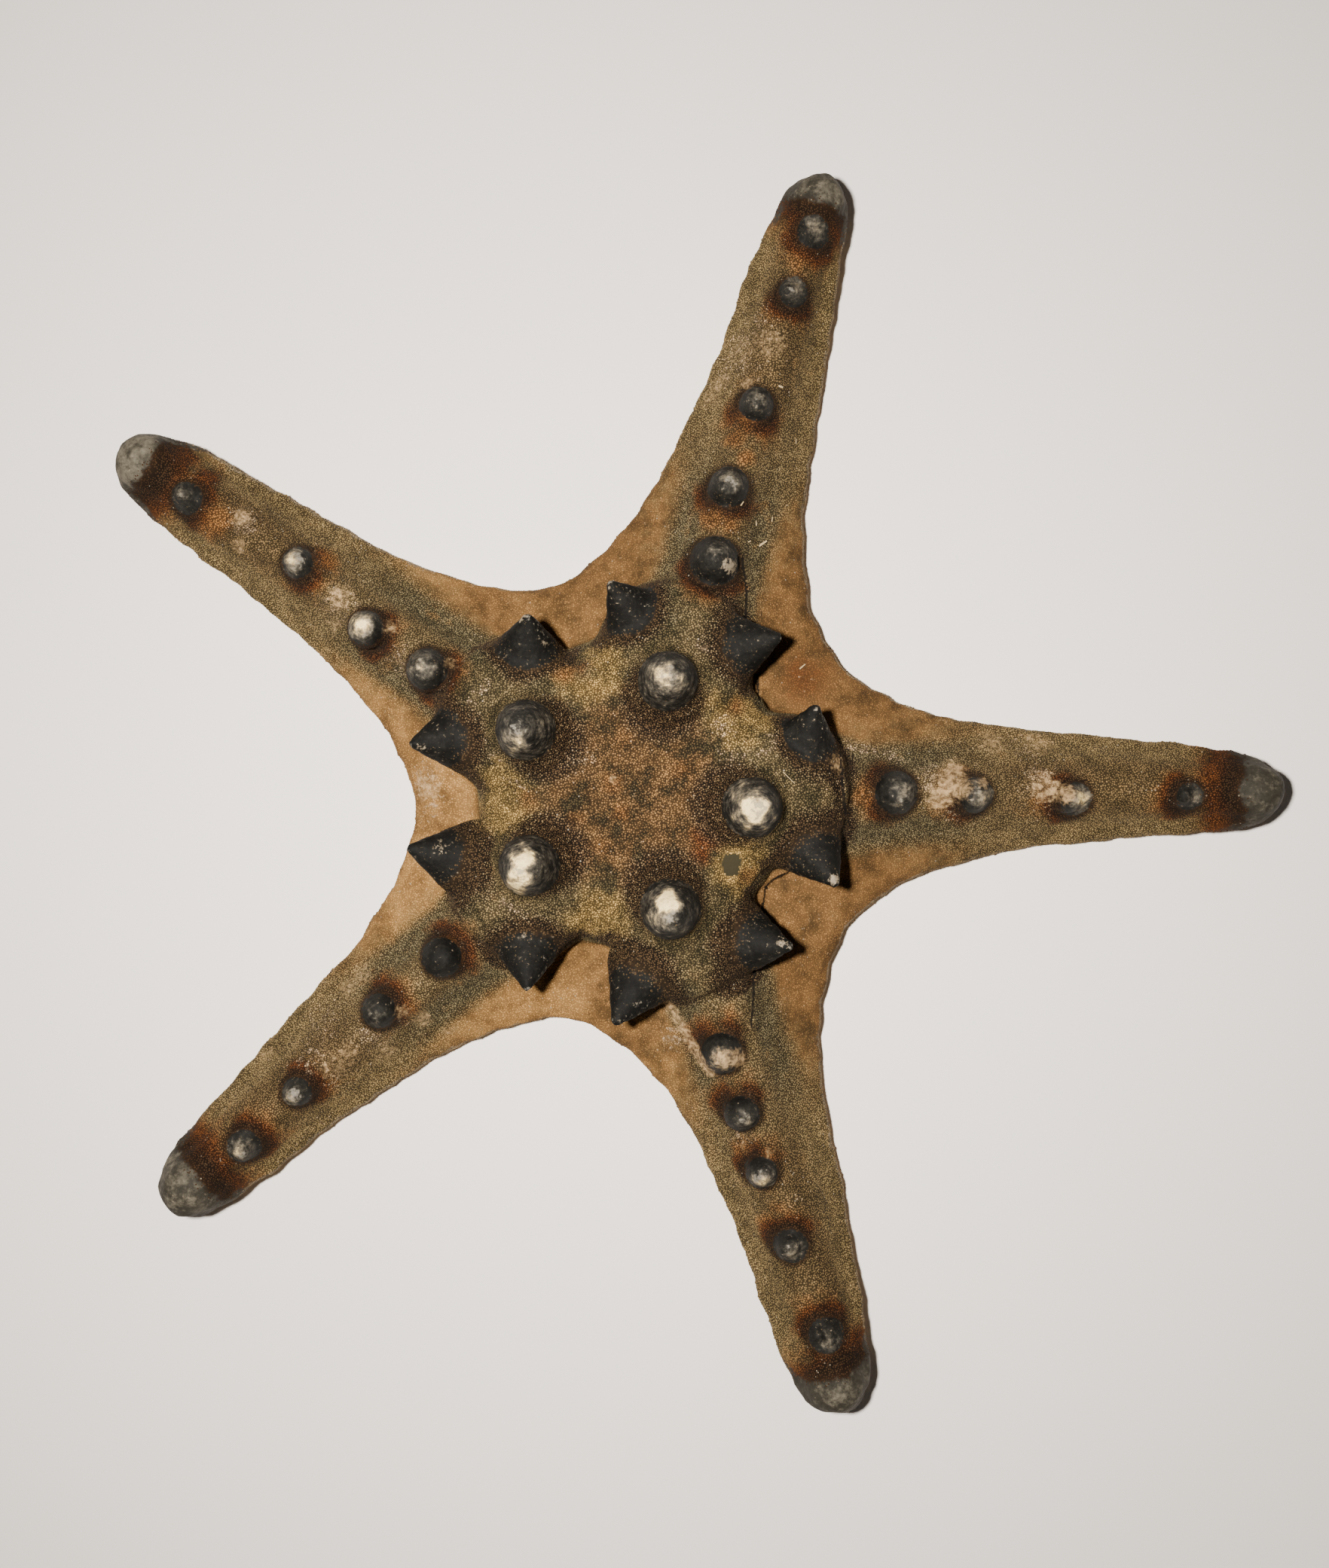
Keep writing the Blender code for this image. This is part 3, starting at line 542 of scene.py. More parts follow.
dust = patchMask(dustPatches)
for smear in smears:
    dust = np.maximum(dust, smearMask(*smear))
region["gold"] *= 1.0 - patchMask(((-6.3, 14.7, 2.4, 0.9), (11.7, 13.1, 2.6, 0.85)))
horn["collar"] *= 1.0 - 0.7 * patchMask(colourSpots["gold"])
for name, patches in colourSpots.items():
    target = region if name in region else horn
    target[name] = np.maximum(target[name], patchMask(patches))
horn["dusk"] *= 1.0 - 0.7 * patchMask(colourSpots["orange"])
horn["dusk"] *= 1.0 - 0.4 * patchMask(colourSpots["rust"])
horn["rust"] *= 1.0 - 0.6 * patchMask(colourSpots["orange"])
platePlace = np.abs(places[:, :2] - madreporite["place"]) / madreporite["half"]
plateMask = ramp(np.maximum(platePlace[:, 0] + 0.35 * platePlace[:, 1], platePlace[:, 1]), 1.25, 0.85)
plateMask *= ramp(places[:, 2], 12.0, 14.0)
nearest, along, across, off = armPlaces(places[:, :2])
tipAway = np.array([arm["reach"] for arm in arms])[nearest] - along
horn["cap"] = np.maximum(horn["cap"], 0.6 * ramp(edge, 1.3, 0.4) * ramp(tipAway, 12.0, 7.0) * ramp(places[:, 2], 4.0, 5.5))
bareAll = np.maximum(horn["bare"], horn["cap"])
region["under"] *= 1.0 - horn["cap"] * ramp(normals[:, 2], -0.8, -0.45)
for name, values in (*horn.items(), *region.items()):
    storeMask(skin, name, values)
storeMask(skin, "dust", dust)
storeMask(skin, "chalk", np.maximum(patchMask(chalkPatches, 1.45, 0.2), smearMask(*chalkSmear)))
storeMask(skin, "crust", patchMask(crusts, 1.1) * bareAll)
storeMask(skin, "sievePlate", plateMask)
storeMask(skin, "crease", creaseDistance(places))
storeMask(skin, "rim", ramp(edge, 0.45, 0.05) * ramp(places[:, 2], 0.3, 1.5) * ramp(normals[:, 0], -0.2, 0.5))
storeMask(skin, "marginBand", ramp(edge, 7.0, 0.5))
storeMask(skin, "edgeWear", ramp(-hollow, 0.25, 0.9) * horn["bare"] * (0.25 + 0.75 * ramp(horn["crown"], 0.1, 0.5)))
grown = (1.0 - np.clip(bareAll * 1.15, 0.0, 1.0)) * (1.0 - region["under"]) * (1.0 - plateMask)
storeMask(skin, "grainCover", grown)
storeMask(skin, "grainUnder", region["under"])
storeMask(skin, "sector", armPlaces(places[:, :2])[0])
print("skin masks stored")


# the finishes: colours that change with place, over bare horns and granular skin
finishColours = {  # darker and paler tint of each part of the skin
    "arm": ((0.086, 0.060, 0.0260), (0.170, 0.119, 0.053)),
    "marginBand": ((0.130, 0.092, 0.038), (0.225, 0.157, 0.066)),
    "flange": ((0.055, 0.031, 0.0115), (0.180, 0.092, 0.031)),
    "paler": ((0.155, 0.079, 0.025), (0.380, 0.205, 0.066)),
    "green": ((0.030, 0.028, 0.0150), (0.118, 0.099, 0.052)),
    "disc": ((0.024, 0.0160, 0.0074), (0.136, 0.073, 0.0275)),
    "gold": ((0.112, 0.073, 0.0230), (0.345, 0.218, 0.068)),
    "orange": ((0.085, 0.037, 0.0110), (0.220, 0.098, 0.0290)),
    "rust": ((0.029, 0.0092, 0.0030), (0.094, 0.0300, 0.0080)),
    "rim": ((0.16, 0.12, 0.07), (0.28, 0.22, 0.14)),
    "dust": ((0.15, 0.100, 0.055), (0.34, 0.235, 0.140)),
    "under": ((0.22, 0.15, 0.08), (0.34, 0.24, 0.13)),
    "crest": ((0.052, 0.032, 0.0135), (0.115, 0.073, 0.031)),
    "rise": ((0.036, 0.0285, 0.0130), (0.122, 0.088, 0.040)),
    "dusk": ((0.021, 0.0115, 0.0055), (0.021, 0.0115, 0.0055)),
    "groove": ((0.055, 0.034, 0.017), (0.105, 0.066, 0.033)),
    "collar": ((0.013, 0.0080, 0.0042), (0.028, 0.0160, 0.0080)),
    "cap": ((0.028, 0.025, 0.0185), (0.115, 0.101, 0.074)),
    "chalk": ((0.130, 0.084, 0.041), (0.370, 0.242, 0.116)),
}
plainTints = {
    "paleGrain": (0.086, 0.061, 0.032), "darkGrain": (0.032, 0.0180, 0.0083), "fleck": (0.22, 0.19, 0.14), "edgeWear": (0.15, 0.135, 0.11), "wornTip": (0.125, 0.112, 0.088),
    # the near-black fold tint is painted shadow along the folds
    "crust": (0.215, 0.172, 0.115), "sievePlate": (0.026, 0.022, 0.0115), "paintedFoldShadow": (0.004, 0.003, 0.002),
}
hornStops = (  # from bare charcoal through marbled grey to the worn cream top, whose last stop is made brighter as a painted highlight
    (0.00, (0.0048, 0.0046, 0.0040)), (0.28, (0.0125, 0.0118, 0.0098)), (0.48, (0.046, 0.041, 0.032)),
    (0.68, (0.135, 0.113, 0.078)), (0.80, (0.35, 0.255, 0.125)), (0.97, (0.90, 0.69, 0.32)),
)
# the gap tones darken the skin between grains: partly its own darker colour, partly painted shade
grainTone = {"gap": 0.26, "softShadedGap": 0.60, "grain": 1.3, "softGrain": 1.05, "luck": 0.09}
gloss = {"specular": 0.10, "skinRoughness": 0.9, "hornRoughness": 0.72}


def maskOf(tree, name):
    node = tree.nodes.new("ShaderNodeAttribute")
    node.attribute_name = name
    return node.outputs["Fac"]


def noiseAt(tree, coords, scale, detail=3.0, roughness=0.6):
    node = tree.nodes.new("ShaderNodeTexNoise")
    node.inputs["Scale"].default_value = scale
    node.inputs["Detail"].default_value = detail
    node.inputs["Roughness"].default_value = roughness
    tree.links.new(coords, node.inputs["Vector"])
    return node.outputs["Fac"]


def maths(tree, operation, first, second=None):
    node = tree.nodes.new("ShaderNodeMath")
    node.operation = operation
    for number, value in enumerate((first, second)):
        if isinstance(value, (int, float)):
            node.inputs[number].default_value = value
        elif value is not None:
            tree.links.new(value, node.inputs[number])
    return node.outputs[0]


def softStep(tree, value, low, high, least=0.0, most=1.0):
    node = tree.nodes.new("ShaderNodeMapRange")
    node.interpolation_type = "SMOOTHSTEP"
    node.inputs["From Min"].default_value = low
    node.inputs["From Max"].default_value = high
    node.inputs["To Min"].default_value = least
    node.inputs["To Max"].default_value = most
    tree.links.new(value, node.inputs["Value"])
    return node.outputs["Result"]


def layOver(tree, below, colour, share):
    node = tree.nodes.new("ShaderNodeMix")
    node.data_type = "RGBA"
    tree.links.new(share, node.inputs["Factor"])
    for number, value in ((6, below), (7, colour)):
        if isinstance(value, tuple):
            node.inputs[number].default_value = (*value, 1.0)
        else:
            tree.links.new(value, node.inputs[number])
    return node.outputs[2]


def brokenUp(tree, mask, noise, amount, low=0.35, high=0.65, most=1.0):
    # a mask whose soft edge is broken up by noise
    shift = maths(tree, "MULTIPLY", maths(tree, "SUBTRACT", noise, 0.5), amount)
    return softStep(tree, maths(tree, "ADD", mask, shift), low, high, 0.0, most)


def toned(tree, colour, tone):
    node = tree.nodes.new("ShaderNodeVectorMath")
    node.operation = "SCALE"
    tree.links.new(colour, node.inputs[0])
    tree.links.new(tone, node.inputs["Scale"])
    return node.outputs[0]


def patchy(tree, name, noise, low=0.30, high=0.72):
    darker, paler = finishColours[name]
    return layOver(tree, darker, paler, softStep(tree, noise, low, high))


def skinColours(tree, noises):
    broad, mottle, marble, fine = noises["broad"], noises["mottle"], noises["marble"], noises["fine"]
    colour = patchy(tree, "arm", mottle, 0.30, 0.72)
    plates = layOver(tree, patchy(tree, "flange", mottle, 0.26, 0.70), patchy(tree, "paler", mottle, 0.28, 0.72),
                     brokenUp(tree, maskOf(tree, "paler"), broad, 2.4, 0.2, 1.4))
    for mask, tint, noise, amount, low, high, most in (
        ("marginBand", patchy(tree, "marginBand", mottle), mottle, 1.4, 0.2, 1.2, 0.7),
        ("crest", patchy(tree, "crest", mottle), mottle, 1.6, 0.2, 1.2, 0.75),
        ("rise", patchy(tree, "rise", mottle, 0.36, 0.66), mottle, 0.8, 0.2, 1.0, 1.0),
        ("flange", plates, marble, 1.2, 0.05, 1.0, 1.0),
        ("green", patchy(tree, "green", marble), mottle, 2.0, 0.1, 1.2, 0.8),
        ("disc", patchy(tree, "disc", mottle, 0.34, 0.66), mottle, 2.0, 0.1, 1.1, 1.0),
        ("gold", patchy(tree, "gold", marble), mottle, 2.2, 0.15, 1.2, 0.9),
        ("orange", patchy(tree, "orange", mottle), mottle, 1.2, 0.1, 0.95, 0.92),
        ("rust", patchy(tree, "rust", mottle), mottle, 1.0, 0.1, 0.85, 0.95),
        ("rim", patchy(tree, "rim", marble), mottle, 1.0, 0.45, 0.9, 0.7),
        ("dust", patchy(tree, "dust", fine), fine, 3.2, 0.45, 1.2, 0.85),
        ("dusk", finishColours["dusk"][0], mottle, 0.7, 0.06, 0.85, 0.95),
        ("under", patchy(tree, "under", mottle), broad, 0.4, 0.35, 0.65, 1.0),
        ("groove", patchy(tree, "groove", mottle), mottle, 0.6, 0.2, 0.8, 0.9),
    ):
        share = brokenUp(tree, maskOf(tree, mask), noise, amount, low, high, most)
        colour = layOver(tree, colour, tint, share)
    return colour


def chalked(tree, colour, noises):
    share = brokenUp(tree, maskOf(tree, "chalk"), noises["fine"], 1.4, 0.2, 1.1, 0.88)
    return layOver(tree, colour, patchy(tree, "chalk", noises["fine"], 0.32, 0.66), share)


def grainColours(tree, colour, collar, soft, noises):
    # some grains stay pale in the dark skin round the horns, fewer the nearer they are
    shade = maskOf(tree, "grainShade")
    luck = noises["luck"]
    bar = maths(tree, "MULTIPLY", collar, 0.80)
    bar = maths(tree, "ADD", bar, maths(tree, "MULTIPLY", maskOf(tree, "hornSkin"), 0.32))
    pale = softStep(tree, maths(tree, "SUBTRACT", luck, bar), 0.0, 0.22)
    hidden = maths(tree, "MULTIPLY", collar, maths(tree, "SUBTRACT", 1.0, pale))
    colour = layOver(tree, colour, plainTints["paleGrain"], maths(tree, "MULTIPLY", collar, 0.7))
    colour = layOver(tree, colour, plainTints["darkGrain"], maths(tree, "MULTIPLY", hidden, 0.9))
    grain = softStep(tree, soft, 0.0, 1.0, grainTone["grain"], grainTone["softGrain"])
    own = softStep(tree, shade, 0.6, 1.4, 0.86, 1.14)
    colour = chalked(tree, toned(tree, colour, maths(tree, "MULTIPLY", grain, own)), noises)
    lucky = maths(tree, "MULTIPLY", softStep(tree, shade, 1.390, 1.394), softStep(tree, noises["broad"], 0.42, 0.6))
    return layOver(tree, colour, plainTints["fleck"], maths(tree, "MULTIPLY", lucky, 0.7))


def hornColours(tree, noises):
    marble, mottle, fine, speck = noises["marble"], noises["mottle"], noises["fine"], noises["speck"]
    veins = maths(tree, "MULTIPLY", maths(tree, "SUBTRACT", marble, 0.48), 1.5)
    veins = maths(tree, "ADD", veins, maths(tree, "MULTIPLY", maths(tree, "SUBTRACT", fine, 0.5), 0.6))
    veins = maths(tree, "MULTIPLY", veins, softStep(tree, maskOf(tree, "crown"), 0.0, 0.4, 0.45, 1.0))
    capTone = maths(tree, "MULTIPLY", maths(tree, "SUBTRACT", maskOf(tree, "capPale"), 0.6), 0.26)
    capTone = softStep(tree, maths(tree, "ADD", marble, capTone), 0.38, 0.66)
    stops = tree.nodes.new("ShaderNodeValToRGB")
    tree.links.new(maths(tree, "ADD", maskOf(tree, "crown"), veins), stops.inputs["Fac"])
    while len(stops.color_ramp.elements) < len(hornStops):
        stops.color_ramp.elements.new(0.5)
    for element, (place, tint) in zip(stops.color_ramp.elements, hornStops):
        element.position = place
        element.color = (*tint, 1.0)
    colour = stops.outputs["Color"]
    flecks = maths(tree, "MULTIPLY", softStep(tree, speck, 0.65, 0.74), softStep(tree, mottle, 0.44, 0.64))
    for tint, share in (
        (plainTints["edgeWear"], brokenUp(tree, maskOf(tree, "edgeWear"), fine, 1.6, 0.5, 0.8, 0.8)),
        (plainTints["wornTip"], brokenUp(tree, maskOf(tree, "wornTip"), fine, 2.8, 0.7, 1.1, 0.85)),
        (plainTints["paleGrain"], flecks),
        (layOver(tree, *finishColours["cap"], capTone), maskOf(tree, "cap")),
        (plainTints["crust"], brokenUp(tree, maskOf(tree, "crust"), fine, 2.6, 0.35, 0.8, 0.9)),
    ):
        colour = layOver(tree, colour, tint, share)
    return toned(tree, colour, softStep(tree, fine, 0.3, 0.7, 0.78, 1.2))


def driedSkinFinish(name, ofGrains):
    material = bpy.data.materials.new(name)
    material.use_nodes = True
    tree = material.node_tree
    shader = tree.nodes["Principled BSDF"]
    shader.inputs["Specular IOR Level"].default_value = gloss["specular"]
    coords = tree.nodes.new("ShaderNodeTexCoord").outputs["Object"]
    noises = {
        "broad": noiseAt(tree, coords, 120.0),
        "mottle": noiseAt(tree, coords, 300.0, 4.0, 0.65),
        "marble": noiseAt(tree, coords, 620.0, 6.0, 0.7),
        "fine": noiseAt(tree, coords, 1700.0, 3.0, 0.65),
        "speck": noiseAt(tree, coords, 3600.0, 1.0),
    }
    if ofGrains:
        # each grain leans to the darker or the paler tint by its own luck
        noises["luck"] = softStep(tree, maskOf(tree, "grainShade"), 0.6, 1.4)
        lean = maths(tree, "MULTIPLY", maths(tree, "SUBTRACT", noises["luck"], 0.5), grainTone["luck"])
        for kind in ("mottle", "marble", "fine"):
            noises[kind] = maths(tree, "ADD", noises[kind], lean)
    colour = skinColours(tree, noises)
    collar = brokenUp(tree, maskOf(tree, "collar"), noises["mottle"], 0.8, 0.15, 0.85, 0.96)
    soft = softStep(tree, maskOf(tree, "flange"), 0.2, 0.9)
    if ofGrains:
        shader.inputs["Roughness"].default_value = gloss["skinRoughness"]
        tree.links.new(grainColours(tree, colour, collar, soft, noises), shader.inputs["Base Color"])
        return material
    colour = layOver(tree, colour, patchy(tree, "collar", noises["fine"]), collar)
    gap = softStep(tree, soft, 0.0, 1.0, grainTone["gap"], grainTone["softShadedGap"])
    covered = tree.nodes.new("ShaderNodeMix")  # only where grains grow does the skin between them darken: partly its own darker colour, partly painted shade between the grains
    covered.inputs["A"].default_value = 1.0
    tree.links.new(maskOf(tree, "grainCover"), covered.inputs["Factor"])
    tree.links.new(gap, covered.inputs["B"])
    colour = toned(tree, colour, covered.outputs[0])
    bareMask = maths(tree, "MAXIMUM", maskOf(tree, "bare"), maskOf(tree, "cap"))
    bare = brokenUp(tree, bareMask, noises["marble"], 0.9, 0.34, 0.66)
    colour = chalked(tree, layOver(tree, colour, hornColours(tree, noises), bare), noises)
    sieve = brokenUp(tree, maskOf(tree, "sievePlate"), noises["fine"], 0.9, 0.2, 0.8)
    colour = layOver(tree, colour, plainTints["sievePlate"], sieve)
    # painted shadow: a near-black line along each fold, where the raised side would shade the lower one
    wander = maths(tree, "MULTIPLY", maths(tree, "SUBTRACT", noises["fine"], 0.5), 0.9)
    foldAway = maths(tree, "ABSOLUTE", maths(tree, "ADD", maskOf(tree, "crease"), wander))
    colour = layOver(tree, colour, plainTints["paintedFoldShadow"], softStep(tree, foldAway, 0.17, 0.07, 0.0, 0.95))
    tree.links.new(colour, shader.inputs["Base Color"])
    rough = softStep(tree, bare, 0.0, 1.0, gloss["skinRoughness"], gloss["hornRoughness"])
    tree.links.new(rough, shader.inputs["Roughness"])
    bump = tree.nodes.new("ShaderNodeBump")
    bump.inputs["Strength"].default_value = 0.6
    bump.inputs["Distance"].default_value = 0.12 * mm
    tree.links.new(noises["fine"], bump.inputs["Height"])
    tree.links.new(bump.outputs["Normal"], shader.inputs["Normal"])
    return material


skinFinish = driedSkinFinish("dried_skin_finish", False)
grainFinish = driedSkinFinish("skin_grain_finish", True)
skin.data.materials.append(skinFinish)
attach(skin, "root")
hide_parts("starfish")
print("skin finished")


# grains: small closed domes over the upper skin, coarser below
grains = {
    "top": {"pitch": 0.214 * mm, "most": 60.0e6, "size": 0.150 * mm, "cover": "grainCover", "seed": 4},
    "under": {"pitch": 0.50 * mm, "most": 10.0e6, "size": 0.34 * mm, "cover": "grainUnder", "seed": 9},
    "sides": 4,
    "height": 0.62,
    "foldGap": 0.17,  # no grain stands in a fold
}
bpy.ops.mesh.primitive_cone_add(vertices=grains["sides"], radius1=1.0, radius2=0.0, depth=grains["height"],
                                location=(0.0, 0.0, 0.25 * grains["height"]))
grainDome = bpy.context.object
grainDome.name = "grain_dome"
bpy.ops.object.transform_apply(location=True, rotation=True, scale=True)
bpy.ops.object.shade_smooth_by_angle(angle=math.radians(70.0))


def scatterTree(settings, sector):
    tree = bpy.data.node_groups.new("grain_scatter", "GeometryNodeTree")
    tree.interface.new_socket("Geometry", in_out="INPUT", socket_type="NodeSocketGeometry")
    tree.interface.new_socket("Geometry", in_out="OUTPUT", socket_type="NodeSocketGeometry")
    inlet, outlet = tree.nodes.new("NodeGroupInput"), tree.nodes.new("NodeGroupOutput")
    spread = tree.nodes.new("GeometryNodeDistributePointsOnFaces")
    spread.distribute_method = "POISSON"
    spread.inputs["Distance Min"].default_value = settings["pitch"]
    spread.inputs["Density Max"].default_value = settings["most"]
    spread.inputs["Seed"].default_value = settings["seed"]
    tree.links.new(inlet.outputs[0], spread.inputs["Mesh"])
    cover = tree.nodes.new("GeometryNodeInputNamedAttribute")
    cover.data_type = "FLOAT"
    cover.inputs["Name"].default_value = settings["cover"]
    tree.links.new(cover.outputs["Attribute"], spread.inputs["Density Factor"])
    own = tree.nodes.new("GeometryNodeInputNamedAttribute")
    own.data_type = "FLOAT"
    own.inputs["Name"].default_value = "sector"
    compare = tree.nodes.new("FunctionNodeCompare")
    compare.data_type = "FLOAT"
    compare.operation = "EQUAL"
    compare.inputs["B"].default_value = float(sector)
    compare.inputs["Epsilon"].default_value = 0.5
    tree.links.new(own.outputs["Attribute"], compare.inputs["A"])
    keep = tree.nodes.new("GeometryNodeSeparateGeometry")
    keep.domain = "POINT"
    tree.links.new(spread.outputs["Points"], keep.inputs["Geometry"])
    fold = tree.nodes.new("GeometryNodeInputNamedAttribute")
    fold.data_type = "FLOAT"
    fold.inputs["Name"].default_value = "crease"
    away = tree.nodes.new("ShaderNodeMath")
    away.operation = "ABSOLUTE"
    tree.links.new(fold.outputs["Attribute"], away.inputs[0])
    clear = tree.nodes.new("FunctionNodeCompare")
    clear.data_type = "FLOAT"
    clear.operation = "GREATER_THAN"
    clear.inputs["B"].default_value = grains["foldGap"]
    tree.links.new(away.outputs[0], clear.inputs["A"])
    both = tree.nodes.new("FunctionNodeBooleanMath")
    both.operation = "AND"
    tree.links.new(compare.outputs["Result"], both.inputs[0])
    tree.links.new(clear.outputs["Result"], both.inputs[1])
    tree.links.new(both.outputs[0], keep.inputs["Selection"])
    turned = tree.nodes.new("FunctionNodeRotateRotation")
    turned.rotation_space = "LOCAL"
    spin = tree.nodes.new("FunctionNodeRandomValue")
    spin.data_type = "FLOAT_VECTOR"
    spin.inputs[0].default_value = (0.0, 0.0, 0.0)
    spin.inputs[1].default_value = (0.25, 0.25, 2.0 * math.pi)
    toTurn = tree.nodes.new("FunctionNodeEulerToRotation")
    tree.links.new(spin.outputs[0], toTurn.inputs[0])
    instance = tree.nodes.new("GeometryNodeInstanceOnPoints")
    tree.links.new(spread.outputs["Rotation"], turned.inputs["Rotation"])
    tree.links.new(toTurn.outputs[0], turned.inputs["Rotate By"])
    dome = tree.nodes.new("GeometryNodeObjectInfo")
    dome.inputs["Object"].default_value = grainDome
    size = tree.nodes.new("FunctionNodeRandomValue")
    size.data_type = "FLOAT"
    size.inputs[2].default_value = settings["size"] * 0.7
    size.inputs[3].default_value = settings["size"] * 1.2
    size.inputs["Seed"].default_value = 3
    tree.links.new(keep.outputs["Selection"], instance.inputs["Points"])
    tree.links.new(dome.outputs["Geometry"], instance.inputs["Instance"])
    tree.links.new(turned.outputs["Rotation"], instance.inputs["Rotation"])
    tree.links.new(size.outputs[1], instance.inputs["Scale"])
    shade = tree.nodes.new("FunctionNodeRandomValue")
    shade.data_type = "FLOAT"
    shade.inputs[2].default_value = 0.6
    shade.inputs[3].default_value = 1.4
    shade.inputs["Seed"].default_value = 5
    mark = tree.nodes.new("GeometryNodeStoreNamedAttribute")
    mark.data_type = "FLOAT"
    mark.domain = "INSTANCE"
    mark.inputs["Name"].default_value = "grainShade"
    tree.links.new(instance.outputs["Instances"], mark.inputs["Geometry"])
    tree.links.new(shade.outputs[1], mark.inputs["Value"])
    real = tree.nodes.new("GeometryNodeRealizeInstances")
    tree.links.new(mark.outputs["Geometry"], real.inputs[0])
    finish = tree.nodes.new("GeometryNodeSetMaterial")
    finish.inputs["Material"].default_value = grainFinish
    tree.links.new(real.outputs[0], finish.inputs["Geometry"])
    tree.links.new(finish.outputs[0], outlet.inputs[0])
    return tree


def growGrains(name, settings, sector):
    piece = bpy.data.objects.new(name, skin.data.copy())
    bpy.context.scene.collection.objects.link(piece)
    applyModifier(piece, "NODES", node_group=scatterTree(settings, sector))
    piece.data.materials.clear()
    piece.data.materials.append(grainFinish)
    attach(piece, "root")
    triangles = sum(len(face.vertices) - 2 for face in piece.data.polygons)
    print(name, triangles, "triangles")
    return piece


for number, arm in enumerate(arms):
    growGrains("grains_" + arm["name"], grains["top"], number)
    growGrains("lower_grains_" + arm["name"], grains["under"], number)
bpy.data.objects.remove(grainDome)


# small closed pegs: spinelets that lean over the grooves below, and dry splinters on top
def pegPiece(name, pegs, sides, material):
    # one piece of closed pegs, each given by its foot, tip and radii at both
    corners, faces, lucks = [], [], []
    for foot, tip, footRadius, tipRadius in pegs:
        foot, tip = Vector(foot), Vector(tip)
        turn = (tip - foot).to_track_quat("Z", "Y")
        first = len(corners)
        for centre, radius in ((foot, footRadius), (tip, tipRadius)):
            for side in range(sides):
                angle = 2.0 * math.pi * side / sides
                corners.append(centre + turn @ Vector((math.cos(angle), math.sin(angle), 0.0)) * radius)
        for side in range(sides):
            following = (side + 1) % sides
            faces.append((first + side, first + following, first + sides + following, first + sides + side))
        faces.append(tuple(first + side for side in reversed(range(sides))))
        faces.append(tuple(first + sides + side for side in range(sides)))
        lucks += [dice.uniform(0.7, 1.3)] * (2 * sides)
    mesh = bpy.data.meshes.new(name)
    mesh.from_pydata(corners, [], faces)
    piece = bpy.data.objects.new(name, mesh)
    bpy.context.scene.collection.objects.link(piece)
    writeLocalPlaces(piece, readPlaces(piece))
    storeMask(piece, "grainShade", lucks)
    storeMask(piece, "under", np.ones(len(corners)))
    piece.data.materials.append(material)
    selectOnly(piece)
    bpy.ops.object.shade_smooth_by_angle(angle=math.radians(50.0))
    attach(piece, "root")
    print(name, len(faces), "faces")
    return piece


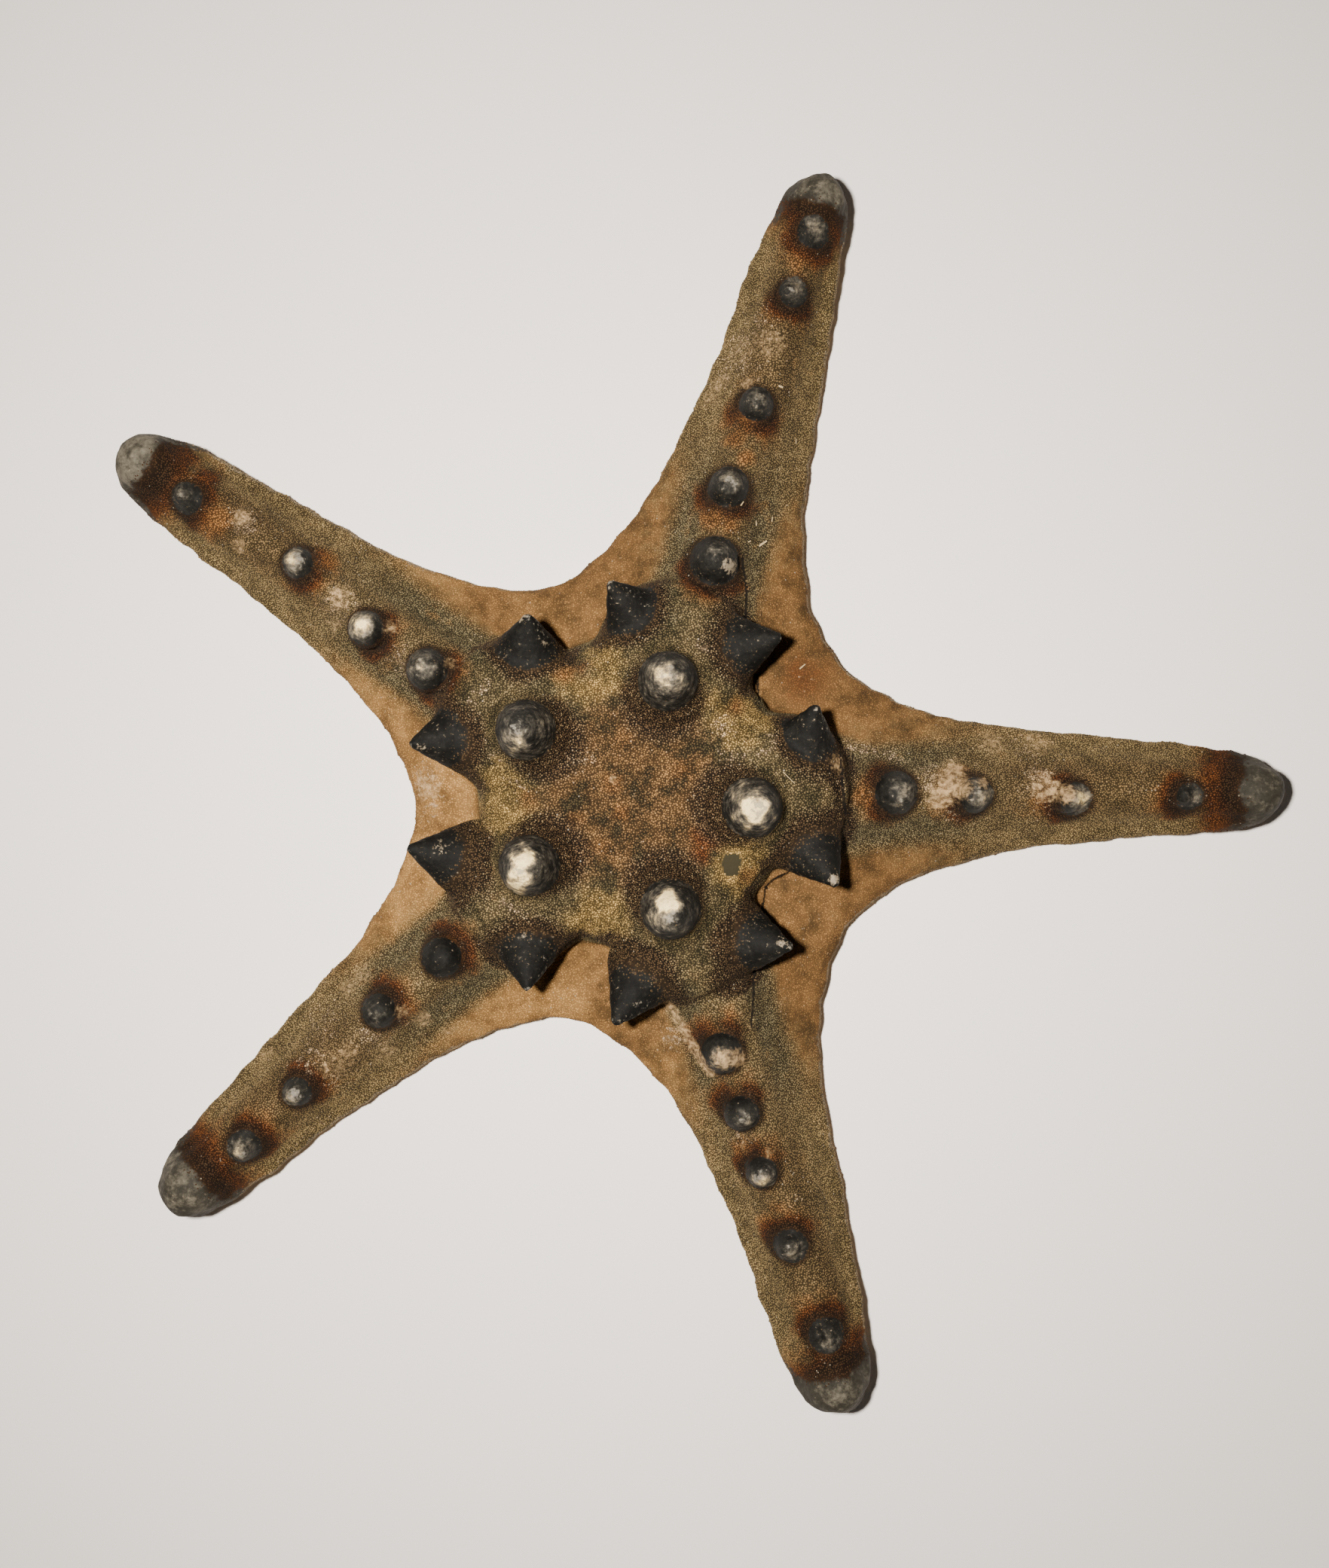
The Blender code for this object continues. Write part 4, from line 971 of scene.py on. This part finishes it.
spinelets = {
    "sides": 5,
    "step": 0.8,
    "firstAt": 7.0,
    "endGap": 5.5,
    "radius": 0.27,
    "tipShare": 0.5,
    "grooveHalf": ((0.0, 30.0, 60.0, 84.0), (3.0, 2.4, 1.7, 1.0)),
    "liftFrom": 52.0,
    "liftTop": 4.4,
    "footHeight": 0.45,
    "tipHeight": 0.34,
    "mouthFoot": 4.4,
    "mouthTip": 2.2,
}
dice = random.Random(6)
pegs = []
for number, arm in enumerate(arms):
    along = spinelets["firstAt"]
    while along < arm["reach"] - spinelets["endGap"]:
        half = float(np.interp(along, *spinelets["grooveHalf"]))
        size = spinelets["radius"] * min(1.0, half / 2.2)
        lift = spinelets["liftTop"] * (max(0.0, along - spinelets["liftFrom"]) / (arm["reach"] - spinelets["liftFrom"])) ** 2
        lift += float(tipRise(arm, along))
        sway = float(swayOf(arm, along))
        for side in (-1.0, 1.0):
            foot = toPlan(arm, along + dice.uniform(-0.1, 0.1), sway + side * half * 0.98)
            tip = toPlan(arm, along + dice.uniform(-0.1, 0.35), sway + side * half * dice.uniform(0.25, 0.4))
            pegs.append(((*foot, lift + spinelets["footHeight"]), (*tip, lift + spinelets["tipHeight"]),
                         size, size * spinelets["tipShare"]))
        along += spinelets["step"] * (0.6 + 0.4 * half / 3.0)
    jaw = math.radians(0.5 * (arm["heading"] + (arms[(number + 1) % 5]["heading"] - arm["heading"]) % 360.0
                              + arm["heading"]))
    for aside in (-1.2, -0.6, 0.0, 0.6, 1.2):
        foot = Vector((spinelets["mouthFoot"], aside)), Vector((spinelets["mouthTip"], 0.7 * aside))
        foot, tip = (Vector((math.cos(jaw) * spot.x - math.sin(jaw) * spot.y,
                             math.sin(jaw) * spot.x + math.cos(jaw) * spot.y)) for spot in foot)
        pegs.append(((*foot, spinelets["footHeight"]), (*tip, spinelets["tipHeight"]), spinelets["radius"],
                     spinelets["radius"] * spinelets["tipShare"]))
pegPiece("groove_spinelets", pegs, spinelets["sides"], grainFinish)

splinters = (  # plan place, length, width and turn of the dry splinters lying on the skin
    (15.3, 29.9, 1.7, 0.17, 33.0), (12.9, 34.4, 0.6, 0.08, 55.0), (14.7, 32.4, 0.6, 0.07, 95.0),
    (17.5, 48.7, 0.8, 0.17, -20.0), (19.7, 42.8, 0.6, 0.06, 88.0), (13.8, 30.1, 0.5, 0.08, 20.0),
    (16.7, 33.1, 0.6, 0.07, 80.0), (20.5, 15.3, 0.9, 0.10, 40.0), (18.1, 1.65, 1.9, 0.05, -45.0),
)
fibre = bpy.data.materials.new("dry_fibre")
fibre.use_nodes = True
fibre.node_tree.nodes["Principled BSDF"].inputs["Base Color"].default_value = (0.34, 0.25, 0.13, 1.0)
fibre.node_tree.nodes["Principled BSDF"].inputs["Roughness"].default_value = 0.85
pegs = []
for x, y, length, width, turn in splinters:
    start = Vector((x * mm + discCentre[0], y * mm + discCentre[1], 60 * mm))
    height = skin.ray_cast(start, Vector((0.0, 0.0, -1.0)))[1].z / mm + 0.16
    half = 0.5 * length * Vector((math.cos(math.radians(turn)), math.sin(math.radians(turn)), 0.06))
    pegs.append((Vector((x, y, height)) - half, Vector((x, y, height)) + half, width, width * 0.7))
pegPiece("dry_splinters", pegs, 5, fibre)
